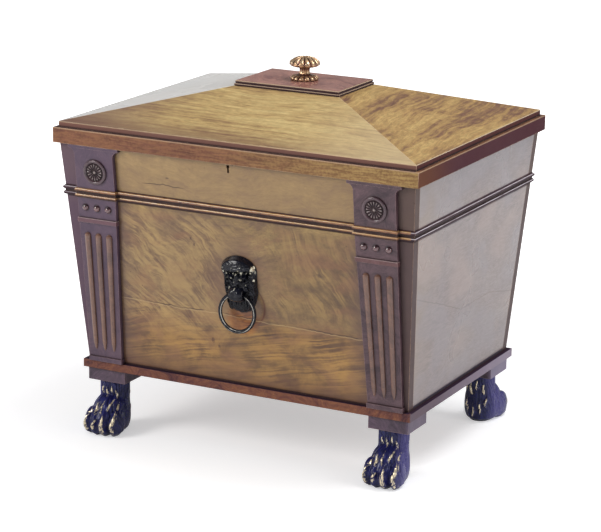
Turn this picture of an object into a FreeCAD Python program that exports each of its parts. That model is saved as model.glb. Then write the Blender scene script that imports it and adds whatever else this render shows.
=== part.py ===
"""Sarcophagus-shaped mahogany cellarette on four paw feet.

The tapered case stands on a base board, four corner blocks and four carved paw feet.
Two pilasters, a double-bead waist moulding, a lion mask with a ring pull and a box lock
are on its front. The hipped lid turns on two butt hinges and carries a brass knob.
Millimetres, +Z up, +X to the right seen from the front, front towards -Y.
The origin is on the floor, under the middle of the lid.
"""

import FreeCAD, Part
import os
import re

import Sketcher

SIZES = {
    # heights, from the floor up
    "foot_height": 92,
    "block_height": 23,
    "base_height": 15,
    "case_height": 392,
    "lid_gap": 0.4,
    "rail_height": 26,
    "slope_edge": 10,
    "slope_rise": 52.8,
    "cap_height": 9.5,
    # case
    "rim_width": 662.4,
    "rim_depth": 518.4,
    "sole_width": 613,
    "sole_depth": 416.6,
    "board": 18,
    "bottom_thick": 14,
    "base_overhang": 8,
    "base_round": 1.2,
    "block_width": 73,
    "block_depth": 72,
    "block_inset": 6.6,
    # waist moulding
    "waist_drop": 75.2,
    "waist_height": 16.6,
    "waist_back": 1.2,
    "waist_bead": 6.8,
    "waist_proud": 4,
    # pilasters
    "pilaster_inset": 7,
    "pilaster_width": 75,
    "pilaster_taper": 12.5,
    "pilaster_proud": 8,
    "lip_height": 5,
    "lip_flare": 11,
    "lip_proud": 0.6,
    "break_side": 2.6,
    "band_gap": 37.7,
    "band_height": 8,
    "band_proud": 3,
    "band_side": 1.2,
    "plinth_height": 8.4,
    "plinth_proud": 3,
    "ball_gap": 17.2,
    "ball_radius": 5.9,
    "ball_pitch": 22.2,
    "reed_gap": 62.2,
    "reed_foot_gap": 22.3,
    "reed_radius": 5.8,
    "reed_radius_low": 4.2,
    "reed_tail": 16,
    "reed_pitch": 21.2,
    "reed_pitch_low": 17.8,
    # pateras
    "patera_drop": 43.4,
    "patera_radius": 22,
    "patera_height": 3.9,
    "patera_rim": 5.5,
    "patera_well": 2.4,
    "patera_disc": 15,
    # paw feet
    "foot_inset_x": 37.4,
    "foot_inset_y": 26.7,
    "ankle_radius": 26,
    "paw_half_width": 31,
    "paw_reach": 59,
    "paw_heel": 25,
    "paw_top": 40,
    "instep_swell": 8,
    "toe_radius": 9.6,
    "toe_length": 20,
    "toe_pitch": 17,
    "toe_rise": 18,
    "toe_sunk": 2,
    "dowel_radius": 8,
    "dowel_length": 46,
    # lid
    "lid_overhang": 8.8,
    "lid_ledge": 7.4,
    "rail_width": 72,
    "lining_thick": 8,
    "cap_width": 200.4,
    "cap_depth": 136.8,
    "cap_step": 1.4,
    "cap_round": 2,
    # knob
    "knob_flange_radius": 24.5,
    "knob_flange_height": 7,
    "knob_neck_radius": 8.5,
    "knob_cap_radius": 27,
    "knob_cap_base": 21,
    "knob_cap_edge": 28,
    "knob_height": 40.5,
    "knob_bolt_radius": 3,
    "knob_nut_radius": 8,
    "knob_nut_height": 5,
    # hinges
    "hinge_x": 190,
    "leaf_length": 60,
    "leaf_depth": 18,
    "leaf_thick": 2,
    "knuckle_radius": 4,
    "hinge_outset": 4.8,
    "hinge_play": 0.3,
    "pin_radius": 2,
    "pin_clearance": 0.05,
    "screw_radius": 1.5,
    "screw_head": 3,
    "screw_length": 15,
    "screw_pitch": 20,
    # lock
    "lock_x": -7,
    "lock_width": 64,
    "lock_depth": 11,
    "lock_height": 48,
    "keyhole_drop": 3.6,
    "keyhole_height": 12.4,
    "keyhole_radius": 2.4,
    "keyhole_slot": 2.4,
    "escutcheon_wall": 0.9,
    "staple_thick": 4,
    "staple_depth": 6,
    "staple_drop": 13,
    "staple_plate": 2,
    "staple_plate_length": 44,
    "bolt_size": 3.6,
    "bolt_length": 24,
    "bolt_drop": 8.4,
    "bolt_travel": 8,
    "lock_play": 0.4,
    # lion mask and ring
    "mask_x": 5,
    "mask_top_drop": 161,
    "mask_half_width": 32.5,
    "mask_relief": 17,
    "mane_half_height": 37,
    "muzzle_radius": 13.5,
    "muzzle_relief": 27,
    "beard_half_width": 21,
    "beard_length": 42,
    "beard_relief": 7,
    "ring_drop": 224.5,
    "ring_outset": 13.5,
    "ring_radius": 32.5,
    "ring_wire": 3.5,
    "ring_play": 0.4,
    "mask_bolt_radius": 3,
    "mask_nut_radius": 8,
    "mask_nut_height": 5,
    # inside
    "liner_thick": 1.6,
    "liner_play": 0.2,
    "liner_drop": 34,
    "divider_thick": 6,
    "divider_clearance": 3,
    "divider_play": 0.3,
}

BOTTLE_COLUMNS = 4
BOTTLE_ROWS = 3
SIDES = {"left": -1, "right": 1}
ENDS = {"front": -1, "back": 1}

LID_HALF_WIDTH = "(rim_width / 2 + lid_overhang)"
LID_HALF_DEPTH = "(rim_depth / 2 + lid_overhang)"
Z_BASE = "(foot_height + block_height)"
Z_CASE = f"({Z_BASE} + base_height)"
Z_RIM = f"({Z_CASE} + case_height)"
Z_LID = f"({Z_RIM} + lid_gap)"
Z_SLOPE = f"({Z_LID} + rail_height)"
Z_CAP = f"({Z_SLOPE} + slope_edge + slope_rise)"
Z_KNOB = f"({Z_CAP} + cap_height)"
Z_HINGE = f"({Z_RIM} + lid_gap / 2)"
Y_HINGE = "(rim_depth / 2 + hinge_outset)"
Z_WAIST_TOP = f"({Z_RIM} - waist_drop)"
Z_WAIST_LOW = f"({Z_WAIST_TOP} - waist_height)"
FRONT_TILT = "atan((rim_depth - sole_depth) / 2 / case_height)"
PILASTER_OUTER = "(sole_width / 2 - pilaster_inset)"
PILASTER_INNER = f"({PILASTER_OUTER} - pilaster_width)"
PILASTER_FACE = f"(pilaster_proud * cos({FRONT_TILT}))"
WAIST_END = "(waist_drop + waist_height)"
BALL_DROP = f"({WAIST_END} + ball_gap)"
BAND_DROP = f"({WAIST_END} + band_gap)"
REED_DROP = f"({WAIST_END} + reed_gap)"
REED_END_DROP = f"(case_height / cos({FRONT_TILT}) - reed_foot_gap)"
BLOCK_X = "(sole_width / 2 + base_overhang - block_inset)"
BLOCK_Y = "(sole_depth / 2 + base_overhang - block_inset)"
FOOT_X = f"({BLOCK_X} - foot_inset_x)"
FOOT_Y = f"({BLOCK_Y} - foot_inset_y)"
KNUCKLE_SPLIT = "(leaf_length / 6)"
BOLT_Z = f"({Z_RIM} - bolt_drop)"
RING_DROP_IN_MASK = "(ring_drop - mask_top_drop)"
MASK_BOLT_DROP = "(mask_top_drop + mane_half_height)"


doc = FreeCAD.newDocument("cellarette")
nodes = []


def link(text):
    """The expression with each size's name read from the sheet."""
    word = re.compile(r"[a-z][a-z_]*")
    return word.sub(lambda m: "Sizes." + m.group(0) if m.group(0) in SIZES else m.group(0), text)


def make_sheet():
    sheet = doc.addObject("Spreadsheet::Sheet", "Sizes")
    for row, (name, value) in enumerate(SIZES.items(), 1):
        sheet.set(f"A{row}", name)
        sheet.set(f"B{row}", str(value))
        sheet.setAlias(f"B{row}", name)
    doc.recompute()
    return sheet


def bind(thing, **sizes):
    """Ties properties to expressions of the sheet."""
    for prop, text in sizes.items():
        thing.setExpression(prop, link(str(text)))
    return thing


def place(thing, x="0", y="0", z="0", axis=(0, 0, 1), angle="0"):
    """Ties a placement to the sheet: a turn about axis, then a move."""
    thing.Placement = FreeCAD.Placement(FreeCAD.Vector(), FreeCAD.Rotation(FreeCAD.Vector(*axis), 10))
    for prop, text in (("Base.x", x), ("Base.y", y), ("Base.z", z), ("Rotation.Angle", angle)):
        thing.setExpression(f"Placement.{prop}", link(str(text)))
    return thing


def node(thing, label):
    """Marks a finished sub-part, whose label names its file."""
    thing.Label = label
    nodes.append(thing)
    return thing


def box(name, x, y, z):
    """A block; x, y and z are pairs of expressions, low and high."""
    solid = doc.addObject("Part::Box", name)
    bind(solid, Length=f"({x[1]}) - ({x[0]})", Width=f"({y[1]}) - ({y[0]})", Height=f"({z[1]}) - ({z[0]})")
    return place(solid, x[0], y[0], z[0])


def cylinder(name, radius, length, **placement):
    solid = doc.addObject("Part::Cylinder", name)
    bind(solid, Radius=radius, Height=length)
    return place(solid, **placement)


def frustum(name, low, high, z):
    """A block with level ends that tapers; low and high are (x0, x1, y0, y1) at the two heights."""
    solid = doc.addObject("Part::Wedge", name)
    bind(solid, Ymin=z[0], Ymax=z[1])
    bind(solid, Xmin=low[0], Xmax=low[1], Zmin=f"-({low[3]})", Zmax=f"-({low[2]})")
    bind(solid, X2min=high[0], X2max=high[1], Z2min=f"-({high[3]})", Z2max=f"-({high[2]})")
    return place(solid, axis=(1, 0, 0), angle="90")


def mitred(name, half, half_inner, reach, reach_inner, low, high, turn):
    """A board mitred at both ends; low and high are its (bottom, top) at the outer and inner edge."""
    solid = doc.addObject("Part::Wedge", name)
    bind(solid, Ymin=f"-({reach})", Ymax=f"-({reach_inner})")
    bind(solid, Xmin=f"-({half})", Xmax=half, Zmin=low[0], Zmax=low[1])
    bind(solid, X2min=f"-({half_inner})", X2max=half_inner, Z2min=high[0], Z2max=high[1])
    return place(solid, angle=str(turn))


def cut(name, base, *tools):
    result = doc.addObject("Part::Cut", name)
    result.Base = base
    result.Tool = tools[0] if len(tools) == 1 else fuse(name + "_tools", *tools)
    return result


def fuse(name, *solids):
    result = doc.addObject("Part::MultiFuse", name)
    result.Shapes = list(solids)
    return result


def group(name, solids):
    """Separate solids kept as one sub-part."""
    result = doc.addObject("Part::Compound", name)
    result.Links = list(solids)
    return result


def half_width(z):
    """Half the case's outside width at height z."""
    return f"(sole_width / 2 + (rim_width - sole_width) / 2 * ({z} - {Z_CASE}) / case_height)"


def half_depth(z):
    """Half the case's outside depth at height z."""
    return f"(sole_depth / 2 + (rim_depth - sole_depth) / 2 * ({z} - {Z_CASE}) / case_height)"


def on_front(thing, x, drop, outset="0", angle=0):
    """Puts a piece on the sloping front, drop below the rim along the slope; its own +Z faces up it."""
    y = f"-rim_depth / 2 + ({drop}) * sin({FRONT_TILT}) - ({outset}) * cos({FRONT_TILT})"
    z = f"{Z_RIM} - ({drop}) * cos({FRONT_TILT}) - ({outset}) * sin({FRONT_TILT})"
    return place(thing, x, y, z, axis=(1, 0, 0), angle=f"{FRONT_TILT} + {angle} deg")


def front_level(drop):
    """The height of a point that lies drop below the rim along the sloping front."""
    return f"({Z_RIM} - ({drop}) * cos({FRONT_TILT}))"


def proud_strip(name, x_low, x_high, z, proud):
    """A strip laid on the sloping front; x_low and x_high are its sides at the lower and upper end."""
    face = [half_depth(level) for level in z]
    low = (*x_low, f"-{face[0]} - ({proud})", f"-{face[0]}")
    high = (*x_high, f"-{face[1]} - ({proud})", f"-{face[1]}")
    return frustum(name, low, high, z)


def origin_plane(body, role):
    return next(f for f in body.Origin.OriginFeatures if f.Role == role)


def sketch_profile(body, name, role, points):
    """A closed outline through points given as pairs of expressions."""
    sketch = body.newObject("Sketcher::SketchObject", name)
    sketch.AttachmentSupport = [(origin_plane(body, role), "")]
    sketch.MapMode = "FlatFace"
    values = [tuple(float(sheet.evalExpression(link(t))) for t in p) for p in points]
    corners = [FreeCAD.Vector(x, y, 0) for x, y in values]
    for side, start in enumerate(corners):
        end = corners[(side + 1) % len(corners)]
        sketch.addGeometry(Part.LineSegment(start, end))
    count = len(corners)
    for side in range(count):
        sketch.addConstraint(Sketcher.Constraint("Coincident", side, 2, (side + 1) % count, 1))
    for side, texts in enumerate(points):
        for kind, text, value in zip(("DistanceX", "DistanceY"), texts, values[side]):
            index = sketch.addConstraint(Sketcher.Constraint(kind, -1, 1, side, 1, value))
            sketch.setExpression(f"Constraints[{index}]", link(text))
    return sketch


def revolve(body, sketch, angle=360):
    feature = body.newObject("PartDesign::Revolution", sketch.Name + "_turned")
    feature.Profile = sketch
    feature.ReferenceAxis = (sketch, ["V_Axis"])
    feature.Angle = angle
    body.Tip = feature
    return feature


def rounded(name, source, radius, choose):
    """Rounds the edges of a block that choose picks."""
    doc.recompute()
    result = doc.addObject("Part::Fillet", name)
    result.Base = source
    size = float(sheet.evalExpression(link(radius)))
    picked = [n for n, edge in enumerate(source.Shape.Edges, 1) if choose(edge, source.Shape.BoundBox)]
    result.Edges = [(n, size, size) for n in picked]
    return result


def level_edge(edge, bounds):
    """True for the edges that run round a block's top and bottom."""
    return edge.BoundBox.ZLength < bounds.ZLength / 2


sheet = make_sheet()


# ---- case -------------------------------------------------------------------------------------


def case_section(z, inset="0"):
    """The case's outline at height z, inset all round, as (x0, x1, y0, y1)."""
    wide = f"({half_width(z)} - ({inset}))"
    deep = f"({half_depth(z)} - ({inset}))"
    return f"-{wide}", wide, f"-{deep}", deep


def board_section(z, face):
    """The outline of one wall at height z; front and back run the full width."""
    x0, x1, y0, y1 = case_section(z)
    return {
        "front": (x0, x1, y0, f"{y0} + board"),
        "back": (x0, x1, f"{y1} - board", y1),
        "left": (x0, f"{x0} + board", f"{y0} + board", f"{y1} - board"),
        "right": (f"{x1} - board", x1, f"{y0} + board", f"{y1} - board"),
    }[face]


def wall(face):
    z = (Z_CASE, Z_RIM)
    return frustum(f"{face}_wall", board_section(z[0], face), board_section(z[1], face), z)


def hinge_span(sign, half):
    return f"{sign} * hinge_x - ({half})", f"{sign} * hinge_x + ({half})"


def screw(name, x, y, z, turn):
    """A countersunk wood screw, head down the way turn points it."""
    head = doc.addObject("Part::Cone", name + "_head")
    bind(head, Radius1="screw_head", Radius2="screw_radius", Height="leaf_thick")
    shank = doc.addObject("Part::Cylinder", name + "_shank")
    bind(shank, Radius="screw_radius", Height="screw_length")
    return [place(piece, x, y, z, (1, 0, 0), turn) for piece in (head, shank)]


def hinge_screws(name, z, turn):
    """Three screws through each leaf of both hinges."""
    made = []
    for side, sign in SIDES.items():
        for place_no in (-1, 0, 1):
            x = f"{sign} * hinge_x + {place_no} * screw_pitch"
            y = "rim_depth / 2 - leaf_depth / 2"
            label = f"{name}_{side}_{place_no + 1}"
            made.append(fuse(label, *screw(label, x, y, z, turn)))
    return group(name, made)


def make_back_board(screws):
    recesses = [
        box(
            f"lower_leaf_recess_{side}",
            hinge_span(sign, "leaf_length / 2"),
            ("rim_depth / 2 - leaf_depth", Y_HINGE),
            (f"{Z_RIM} - leaf_thick", Z_LID),
        )
        for side, sign in SIDES.items()
    ]
    node(cut("back_board", wall("back"), *recesses, screws), "back_board")


def lock_section(z):
    """The lock case's outline at height z: let into the inside of the front board."""
    inner = f"(-{half_depth(z)} + board)"
    return "lock_x - lock_width / 2", "lock_x + lock_width / 2", f"{inner} - lock_depth", inner


def lock_block(name):
    z = (f"({Z_RIM} - lock_height)", Z_RIM)
    return frustum(name, lock_section(z[0]), lock_section(z[1]), z)


def keyhole(name, grow="0"):
    """A keyhole-shaped bar through the front board: a round eye over a narrower slot."""
    eye_level = front_level("keyhole_drop + keyhole_radius")
    eye = doc.addObject("Part::Cylinder", name + "_eye")
    bind(eye, Radius=f"keyhole_radius + ({grow})", Height="board * 2")
    place(eye, "lock_x", "-rim_depth / 2 - board", eye_level, (1, 0, 0), "-90")
    slot = box(
        name + "_slot",
        (f"lock_x - keyhole_slot / 2 - ({grow})", f"lock_x + keyhole_slot / 2 + ({grow})"),
        ("-rim_depth / 2 - board", "-rim_depth / 2 + board"),
        (f"{front_level('keyhole_drop + keyhole_height')} - ({grow})", eye_level),
    )
    return fuse(name, eye, slot)


def front_skin(name):
    """The outer skin of the front board about the keyhole, over the lock case."""
    z = (front_level("keyhole_drop + keyhole_height * 2"), Z_RIM)
    faces = [(f"-{half_depth(h)}", f"-{half_depth(h)} + board - lock_depth") for h in z]
    sections = [("lock_x - board", "lock_x + board", *pair) for pair in faces]
    return frustum(name, *sections, z)


def make_escutcheon():
    """A thin brass liner in the keyhole, flush with the board."""
    block = doc.addObject("Part::Common", "escutcheon_block")
    block.Base = keyhole("escutcheon_outer", "escutcheon_wall")
    block.Tool = front_skin("escutcheon_skin")
    node(cut("keyhole_escutcheon", block, keyhole("escutcheon_inner")), "keyhole_escutcheon")


def mask_bolt_shank(name):
    """The stud's shank, from inside the mask to inside the case."""
    shank = doc.addObject("Part::Cylinder", name)
    bind(shank, Radius="mask_bolt_radius", Height="mask_relief / 2 + board + mask_nut_height")
    return on_front(shank, "mask_x", MASK_BOLT_DROP, "mask_relief / 2", -90)


def make_front_board():
    hole = mask_bolt_shank("mask_bolt_hole")
    tools = [lock_block("lock_recess"), keyhole("keyhole_cut", "escutcheon_wall"), hole]
    node(cut("front_board", wall("front"), *tools), "front_board")


def make_bottom_board():
    z = (Z_CASE, f"({Z_CASE} + bottom_thick)")
    node(frustum("bottom_board", case_section(z[0], "board"), case_section(z[1], "board"), z), "bottom_board")


DOWEL_LOW = f"({Z_CASE} - base_height / 3 - dowel_length)"


def dowel(name, x_sign, y_sign):
    """A peg that fixes a foot through its block into the base board."""
    return cylinder(
        name, "dowel_radius", "dowel_length",
        x=f"{x_sign} * {FOOT_X}", y=f"{y_sign} * {FOOT_Y}", z=DOWEL_LOW,
    )


def corner_names():
    return [(f"{end}_{side}", SIDES[side], ENDS[end]) for end in ENDS for side in SIDES]


def make_base(dowels):
    grown = "-base_overhang"
    x0, x1, y0, y1 = case_section(Z_CASE, grown)
    block = box("base_block", (x0, x1), (y0, y1), (Z_BASE, Z_CASE))
    board = rounded("base_rounded", block, "base_round", level_edge)
    node(cut("base_board", board, dowels), "base_board")


def make_corner_block(name, x_sign, y_sign, peg):
    spans = []
    for sign, reach, size in ((x_sign, BLOCK_X, "block_width"), (y_sign, BLOCK_Y, "block_depth")):
        spans.append((reach + " - " + size, reach) if sign > 0 else ("-" + reach, f"-{reach} + {size}"))
    block = box(f"block_{name}", spans[0], spans[1], ("foot_height", Z_BASE))
    node(cut(f"corner_block_{name}", block, peg), f"corner_block_{name}")


# ---- paw feet ---------------------------------------------------------------------------------


def ellipse(name, half_x, half_y, y, z):
    """A level ellipse about the foot's own middle line."""
    ring = doc.addObject("Part::Ellipse", name)
    bind(ring, MajorRadius=half_y, MinorRadius=half_x)
    return place(ring, "0", y, z, angle="90")


def ball(name, x, y, z, radii):
    """An ellipsoid with half sizes radii along X, Y and Z."""
    solid = doc.addObject("Part::Ellipsoid", name)
    bind(solid, Radius2=radii[0], Radius3=radii[1], Radius1=radii[2])
    return place(solid, x, y, z)


def make_foot(name, x_sign, y_sign):
    """A paw foot: an ankle that swells forward into a pad with four toes."""
    middle = "((paw_heel - paw_reach) / 2)"
    deep = "((paw_heel + paw_reach) / 2)"
    sections = [
        ellipse(f"{name}_top", "ankle_radius", "ankle_radius + 0.01", "0", "foot_height"),
        ellipse(f"{name}_ankle", "ankle_radius - 1", "ankle_radius", "0", "foot_height * 0.85"),
        ellipse(f"{name}_instep", "ankle_radius + 1", "ankle_radius + instep_swell", "-instep_swell",
                "paw_top * 1.4"),
        ellipse(f"{name}_paw", "paw_half_width", deep, middle, "paw_top * 0.7"),
        ellipse(f"{name}_sole", "paw_half_width - 3", f"{deep} - 3", middle, "0"),
    ]
    leg = doc.addObject("Part::Loft", f"{name}_leg")
    leg.Sections = sections
    leg.Solid = True
    socket = cylinder(f"{name}_socket", "dowel_radius", "dowel_length", z=DOWEL_LOW)
    bored = cut(f"{name}_bored", leg, socket)
    toes = []
    for number in range(4):
        across = f"({number} - 1.5)"
        back = f"abs({across}) * toe_radius * 0.45"
        toe = ball(
            f"{name}_toe_{number}", f"{across} * toe_pitch", f"-paw_reach + toe_radius * 0.6 + {back}",
            "toe_rise", ("toe_radius", "toe_length / 2 + toe_radius / 2", "toe_rise + toe_sunk"),
        )
        toes.append(bind(toe, Angle1="-asin(toe_rise / (toe_rise + toe_sunk))"))
    paw = fuse(f"{name}_paw_foot", bored, *toes)
    paw.Refine = False
    turn = "0" if y_sign < 0 else "180"
    node(place(paw, f"{x_sign} * {FOOT_X}", f"{y_sign} * {FOOT_Y}", "0", angle=turn), f"paw_foot_{name}")


def make_stand():
    pegs = {name: dowel(f"dowel_{name}", x, y) for name, x, y in corner_names()}
    dowels = node(group("foot_dowels", list(pegs.values())), "foot_dowels")
    make_base(dowels)
    for name, x_sign, y_sign in corner_names():
        make_corner_block(name, x_sign, y_sign, pegs[name])
        make_foot(name, x_sign, y_sign)


# ---- waist moulding and pilasters -------------------------------------------------------------


def bead_levels():
    """The heights of the two beads, each as (low, high)."""
    upper = (f"({Z_WAIST_TOP} - waist_bead)", Z_WAIST_TOP)
    lower = (Z_WAIST_LOW, f"({Z_WAIST_LOW} + waist_bead)")
    return {"upper": upper, "lower": lower}


def bead_plate(name, z, span):
    """One bead: a plate with its level edges rounded to a half round."""
    return rounded(name, box(name + "_plate", *span, z), "waist_bead * 0.49", level_edge)


def make_waist_moulding(breaks):
    """A double-bead moulding round the case, cut away where it breaks forward over the pilasters."""
    rings = []
    for name, z in bead_levels().items():
        x0, x1, y0, y1 = case_section(f"(({z[0]} + {z[1]}) / 2)", "-waist_proud")
        rings.append(bead_plate(f"waist_{name}", z, ((x0, x1), (y0, y1))))
    z = (f"({Z_WAIST_LOW} + waist_bead / 2)", f"({Z_WAIST_TOP} - waist_bead / 2)")
    back = frustum("waist_backing", case_section(z[0], "-waist_back"), case_section(z[1], "-waist_back"), z)
    case = frustum("waist_hollow", case_section(Z_CASE), case_section(Z_RIM), (Z_CASE, Z_RIM))
    node(cut("waist_moulding", fuse("waist_whole", back, *rings), case, *breaks), "waist_moulding")


def pilaster_sides(sign, inner, outer):
    """The two sides across the case, low x first."""
    return (f"-({outer})", f"-({inner})") if sign < 0 else (inner, outer)


def proud_box(sign, z, proud, grow="0"):
    """A block on the front at the waist, as wide as the pilaster."""
    sides = pilaster_sides(sign, f"{PILASTER_INNER} - ({grow})", f"{PILASTER_OUTER} + ({grow})")
    middle = f"(({z[0]} + {z[1]}) / 2)"
    return sides, (f"-{half_depth(middle)} - ({proud})", "-sole_depth / 2"), z


def make_break(side, sign):
    """The waist moulding's step forward over a pilaster."""
    plates = []
    for name, z in bead_levels().items():
        span = proud_box(sign, z, "pilaster_proud + waist_proud", "break_side")
        plates.append(bead_plate(f"{side}_break_{name}", z, span[:2]))
    core_span = proud_box(sign, (Z_WAIST_LOW, Z_WAIST_TOP), "pilaster_proud + waist_back", "waist_back")
    core = box(f"{side}_break_core", *core_span)
    whole = fuse(f"{side}_break_whole", core, *plates)
    hollow = frustum(f"{side}_break_hollow", case_section(Z_CASE), case_section(Z_RIM), (Z_CASE, Z_RIM))
    node(cut(f"{side}_pilaster_break", whole, hollow), f"{side}_pilaster_break")
    return whole


def make_pilaster_block(side, sign):
    """The frieze block: a lip at the rim with a hollow under each end, over a plain face."""
    sides = pilaster_sides(sign, PILASTER_INNER, PILASTER_OUTER)
    z_lip = f"({Z_RIM} - lip_height)"
    body = proud_strip(f"{side}_block_body", sides, sides, (Z_WAIST_TOP, Z_RIM), "pilaster_proud")
    flared = pilaster_sides(sign, f"{PILASTER_INNER} - lip_flare", f"{PILASTER_OUTER} + lip_flare")
    lip = proud_strip(f"{side}_block_lip", flared, flared, (z_lip, Z_RIM), "pilaster_proud + lip_proud")
    z_ear = f"({z_lip} - lip_flare)"
    ears = proud_strip(f"{side}_block_ears", flared, flared, (z_ear, z_lip), "pilaster_proud")
    hollows = []
    for edge, x in enumerate(flared):
        tool = doc.addObject("Part::Cylinder", f"{side}_block_hollow_{edge}")
        bind(tool, Radius="lip_flare", Height="board * 3")
        hollows.append(place(tool, x, "-rim_depth / 2 - board * 1.5", z_ear, (1, 0, 0), "-90"))
    ears = cut(f"{side}_block_coved", ears, *hollows)
    node(fuse(f"{side}_pilaster_block", body, lip, ears), f"{side}_pilaster_block")


def shaft_inner(z):
    """How far the shaft's inner side is from the middle at height z; the outer side is upright."""
    share = f"(({Z_WAIST_LOW} - {z}) / ({Z_WAIST_LOW} - {Z_CASE}))"
    return f"({PILASTER_INNER} + pilaster_taper * {share})"


def shaft_strip(name, sign, z, proud, grow="0"):
    """A strip that follows the shaft's sides between two heights."""
    ends = [pilaster_sides(sign, f"{shaft_inner(h)} - ({grow})", f"{PILASTER_OUTER} + ({grow})") for h in z]
    return proud_strip(name, *ends, z, proud)


def make_shaft(side, sign):
    """The shaft, its applied cross band and its foot strip."""
    z_band = (front_level(f"{BAND_DROP} + band_height"), front_level(BAND_DROP))
    z_foot = (Z_CASE, f"({Z_CASE} + plinth_height)")
    band = shaft_strip(f"{side}_band_whole", sign, z_band, "pilaster_proud + band_proud", "band_side")
    foot = shaft_strip(f"{side}_foot_whole", sign, z_foot, "pilaster_proud + plinth_proud", "band_side")
    solid = shaft_strip(f"{side}_shaft_whole", sign, (Z_CASE, Z_WAIST_LOW), "pilaster_proud")
    node(cut(f"{side}_cross_band", band, solid), f"{side}_cross_band")
    node(cut(f"{side}_pilaster_foot", foot, solid), f"{side}_pilaster_foot")
    node(solid, f"{side}_pilaster_shaft")


def reed_centre(sign, number, low=False):
    """The x of a reed's middle line at its upper or lower end."""
    drop = REED_END_DROP if low else REED_DROP
    pitch = "reed_pitch_low" if low else "reed_pitch"
    middle = f"(({shaft_inner(front_level(drop))} + {PILASTER_OUTER}) / 2)"
    return f"({sign} * {middle} + {number} * {pitch})"


def make_reeds(side, sign):
    """Three tapered half-round reeds with round upper ends and pointed tails."""
    reeds = []
    length = f"({REED_END_DROP} - {REED_DROP})"
    for number in (-1, 0, 1):
        name = f"{side}_reed_{number + 1}"
        body = doc.addObject("PartDesign::Body", name)
        points = [
            ("0", "0"),
            ("reed_radius * 0.5", "-reed_radius * 0.15"),
            ("reed_radius * 0.87", "-reed_radius * 0.5"),
            ("reed_radius", "-reed_radius"),
            ("reed_radius_low", f"-{length} + reed_tail"),
            ("reed_radius_low * 0.5", f"-{length} + reed_tail * 0.25"),
            ("0", f"-{length}"),
        ]
        turning = revolve(body, sketch_profile(body, name + "_outline", "XZ_Plane", points), 180)
        turning.Reversed = True
        top = reed_centre(sign, number)
        low = reed_centre(sign, number, low=True)
        reeds.append(place(body, top, axis=(0, 1, 0), angle=f"-atan(({low} - {top}) / {length})"))
    fan = on_front(group(f"{side}_reeds", reeds), "0", REED_DROP, PILASTER_FACE)
    node(fan, f"{side}_reeds")


def make_balls():
    """A row of three half balls under the waist on each pilaster."""
    made = []
    for side, sign in SIDES.items():
        for number in (-1, 0, 1):
            half = doc.addObject("Part::Sphere", f"{side}_ball_{number + 1}")
            bind(half, Radius="ball_radius")
            half.Angle1 = 0
            middle = f"(({shaft_inner(front_level(BALL_DROP))} + {PILASTER_OUTER}) / 2)"
            x = f"{sign} * {middle} + {number} * ball_pitch"
            made.append(on_front(half, x, BALL_DROP, PILASTER_FACE, 90))
    node(group("pilaster_balls", made), "pilaster_balls")


def turned(name, points):
    """A piece turned about its own Z axis."""
    body = doc.addObject("PartDesign::Body", name)
    revolve(body, sketch_profile(body, name + "_outline", "XZ_Plane", points))
    return body


def make_patera(side, sign):
    """A turned patera: a raised rim round a well with a domed disc."""
    points = [
        ("0", "0"),
        ("patera_radius", "0"),
        ("patera_radius", "patera_height * 0.6"),
        ("patera_radius - patera_rim * 0.3", "patera_height * 0.95"),
        ("patera_radius - patera_rim * 0.7", "patera_height * 0.95"),
        ("patera_radius - patera_rim", "patera_height * 0.6"),
        ("patera_disc", "patera_well * 0.7"),
        ("patera_disc * 0.8", "patera_height * 0.8"),
        ("patera_disc * 0.3", "patera_height"),
        ("0", "patera_height"),
    ]
    body = turned(f"{side}_patera", points)
    x = f"{sign} * ({PILASTER_INNER} + {PILASTER_OUTER}) / 2"
    node(on_front(body, x, "patera_drop", PILASTER_FACE, 90), f"{side}_patera")


def make_front_ornament():
    breaks = [make_break(side, sign) for side, sign in SIDES.items()]
    make_waist_moulding(breaks)
    for side, sign in SIDES.items():
        make_pilaster_block(side, sign)
        make_shaft(side, sign)
        make_patera(side, sign)
        make_reeds(side, sign)
    make_balls()


# ---- lion mask and ring -----------------------------------------------------------------------


def mask_ball(name, drop, outset, radii):
    """An ellipsoid in the mask's own frame: Z up the slope, -Y out of the face."""
    return ball(name, "0", f"-({outset})", f"-({drop})", radii)


def make_mask():
    """A lion mask: a domed mane, a muzzle bored for the ring, and a flat beard."""
    forms = [
        mask_ball("mane", "mane_half_height", "0", ("mask_half_width", "mask_relief", "mane_half_height")),
        mask_ball("brow", "mane_half_height * 0.75", "mask_relief * 0.4",
                  ("mask_half_width * 0.62", "mask_relief * 0.75", "mane_half_height * 0.5")),
        mask_ball("muzzle", RING_DROP_IN_MASK, "ring_outset * 0.85",
                  ("muzzle_radius", "muzzle_relief - ring_outset * 0.85", "muzzle_radius * 0.95")),
        mask_ball("beard", "mane_half_height * 1.55", "0",
                  ("beard_half_width", "beard_relief", "beard_length")),
    ]
    whole = fuse("mask_whole", *forms)
    room = box("mask_room", ("-mask_half_width * 2", "mask_half_width * 2"),
               ("-muzzle_relief * 2", "0"), ("-mask_half_width * 5", "mask_half_width"))
    face = doc.addObject("Part::Common", "mask_face")
    face.Base = whole
    face.Tool = room
    passage = ring_passage()
    drilled = cut("mask_drilled", face, passage)
    on_front(drilled, "mask_x", "mask_top_drop")
    node(cut("lion_mask", drilled, mask_bolt_shank("mask_bolt_in_mask")), "lion_mask")


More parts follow.
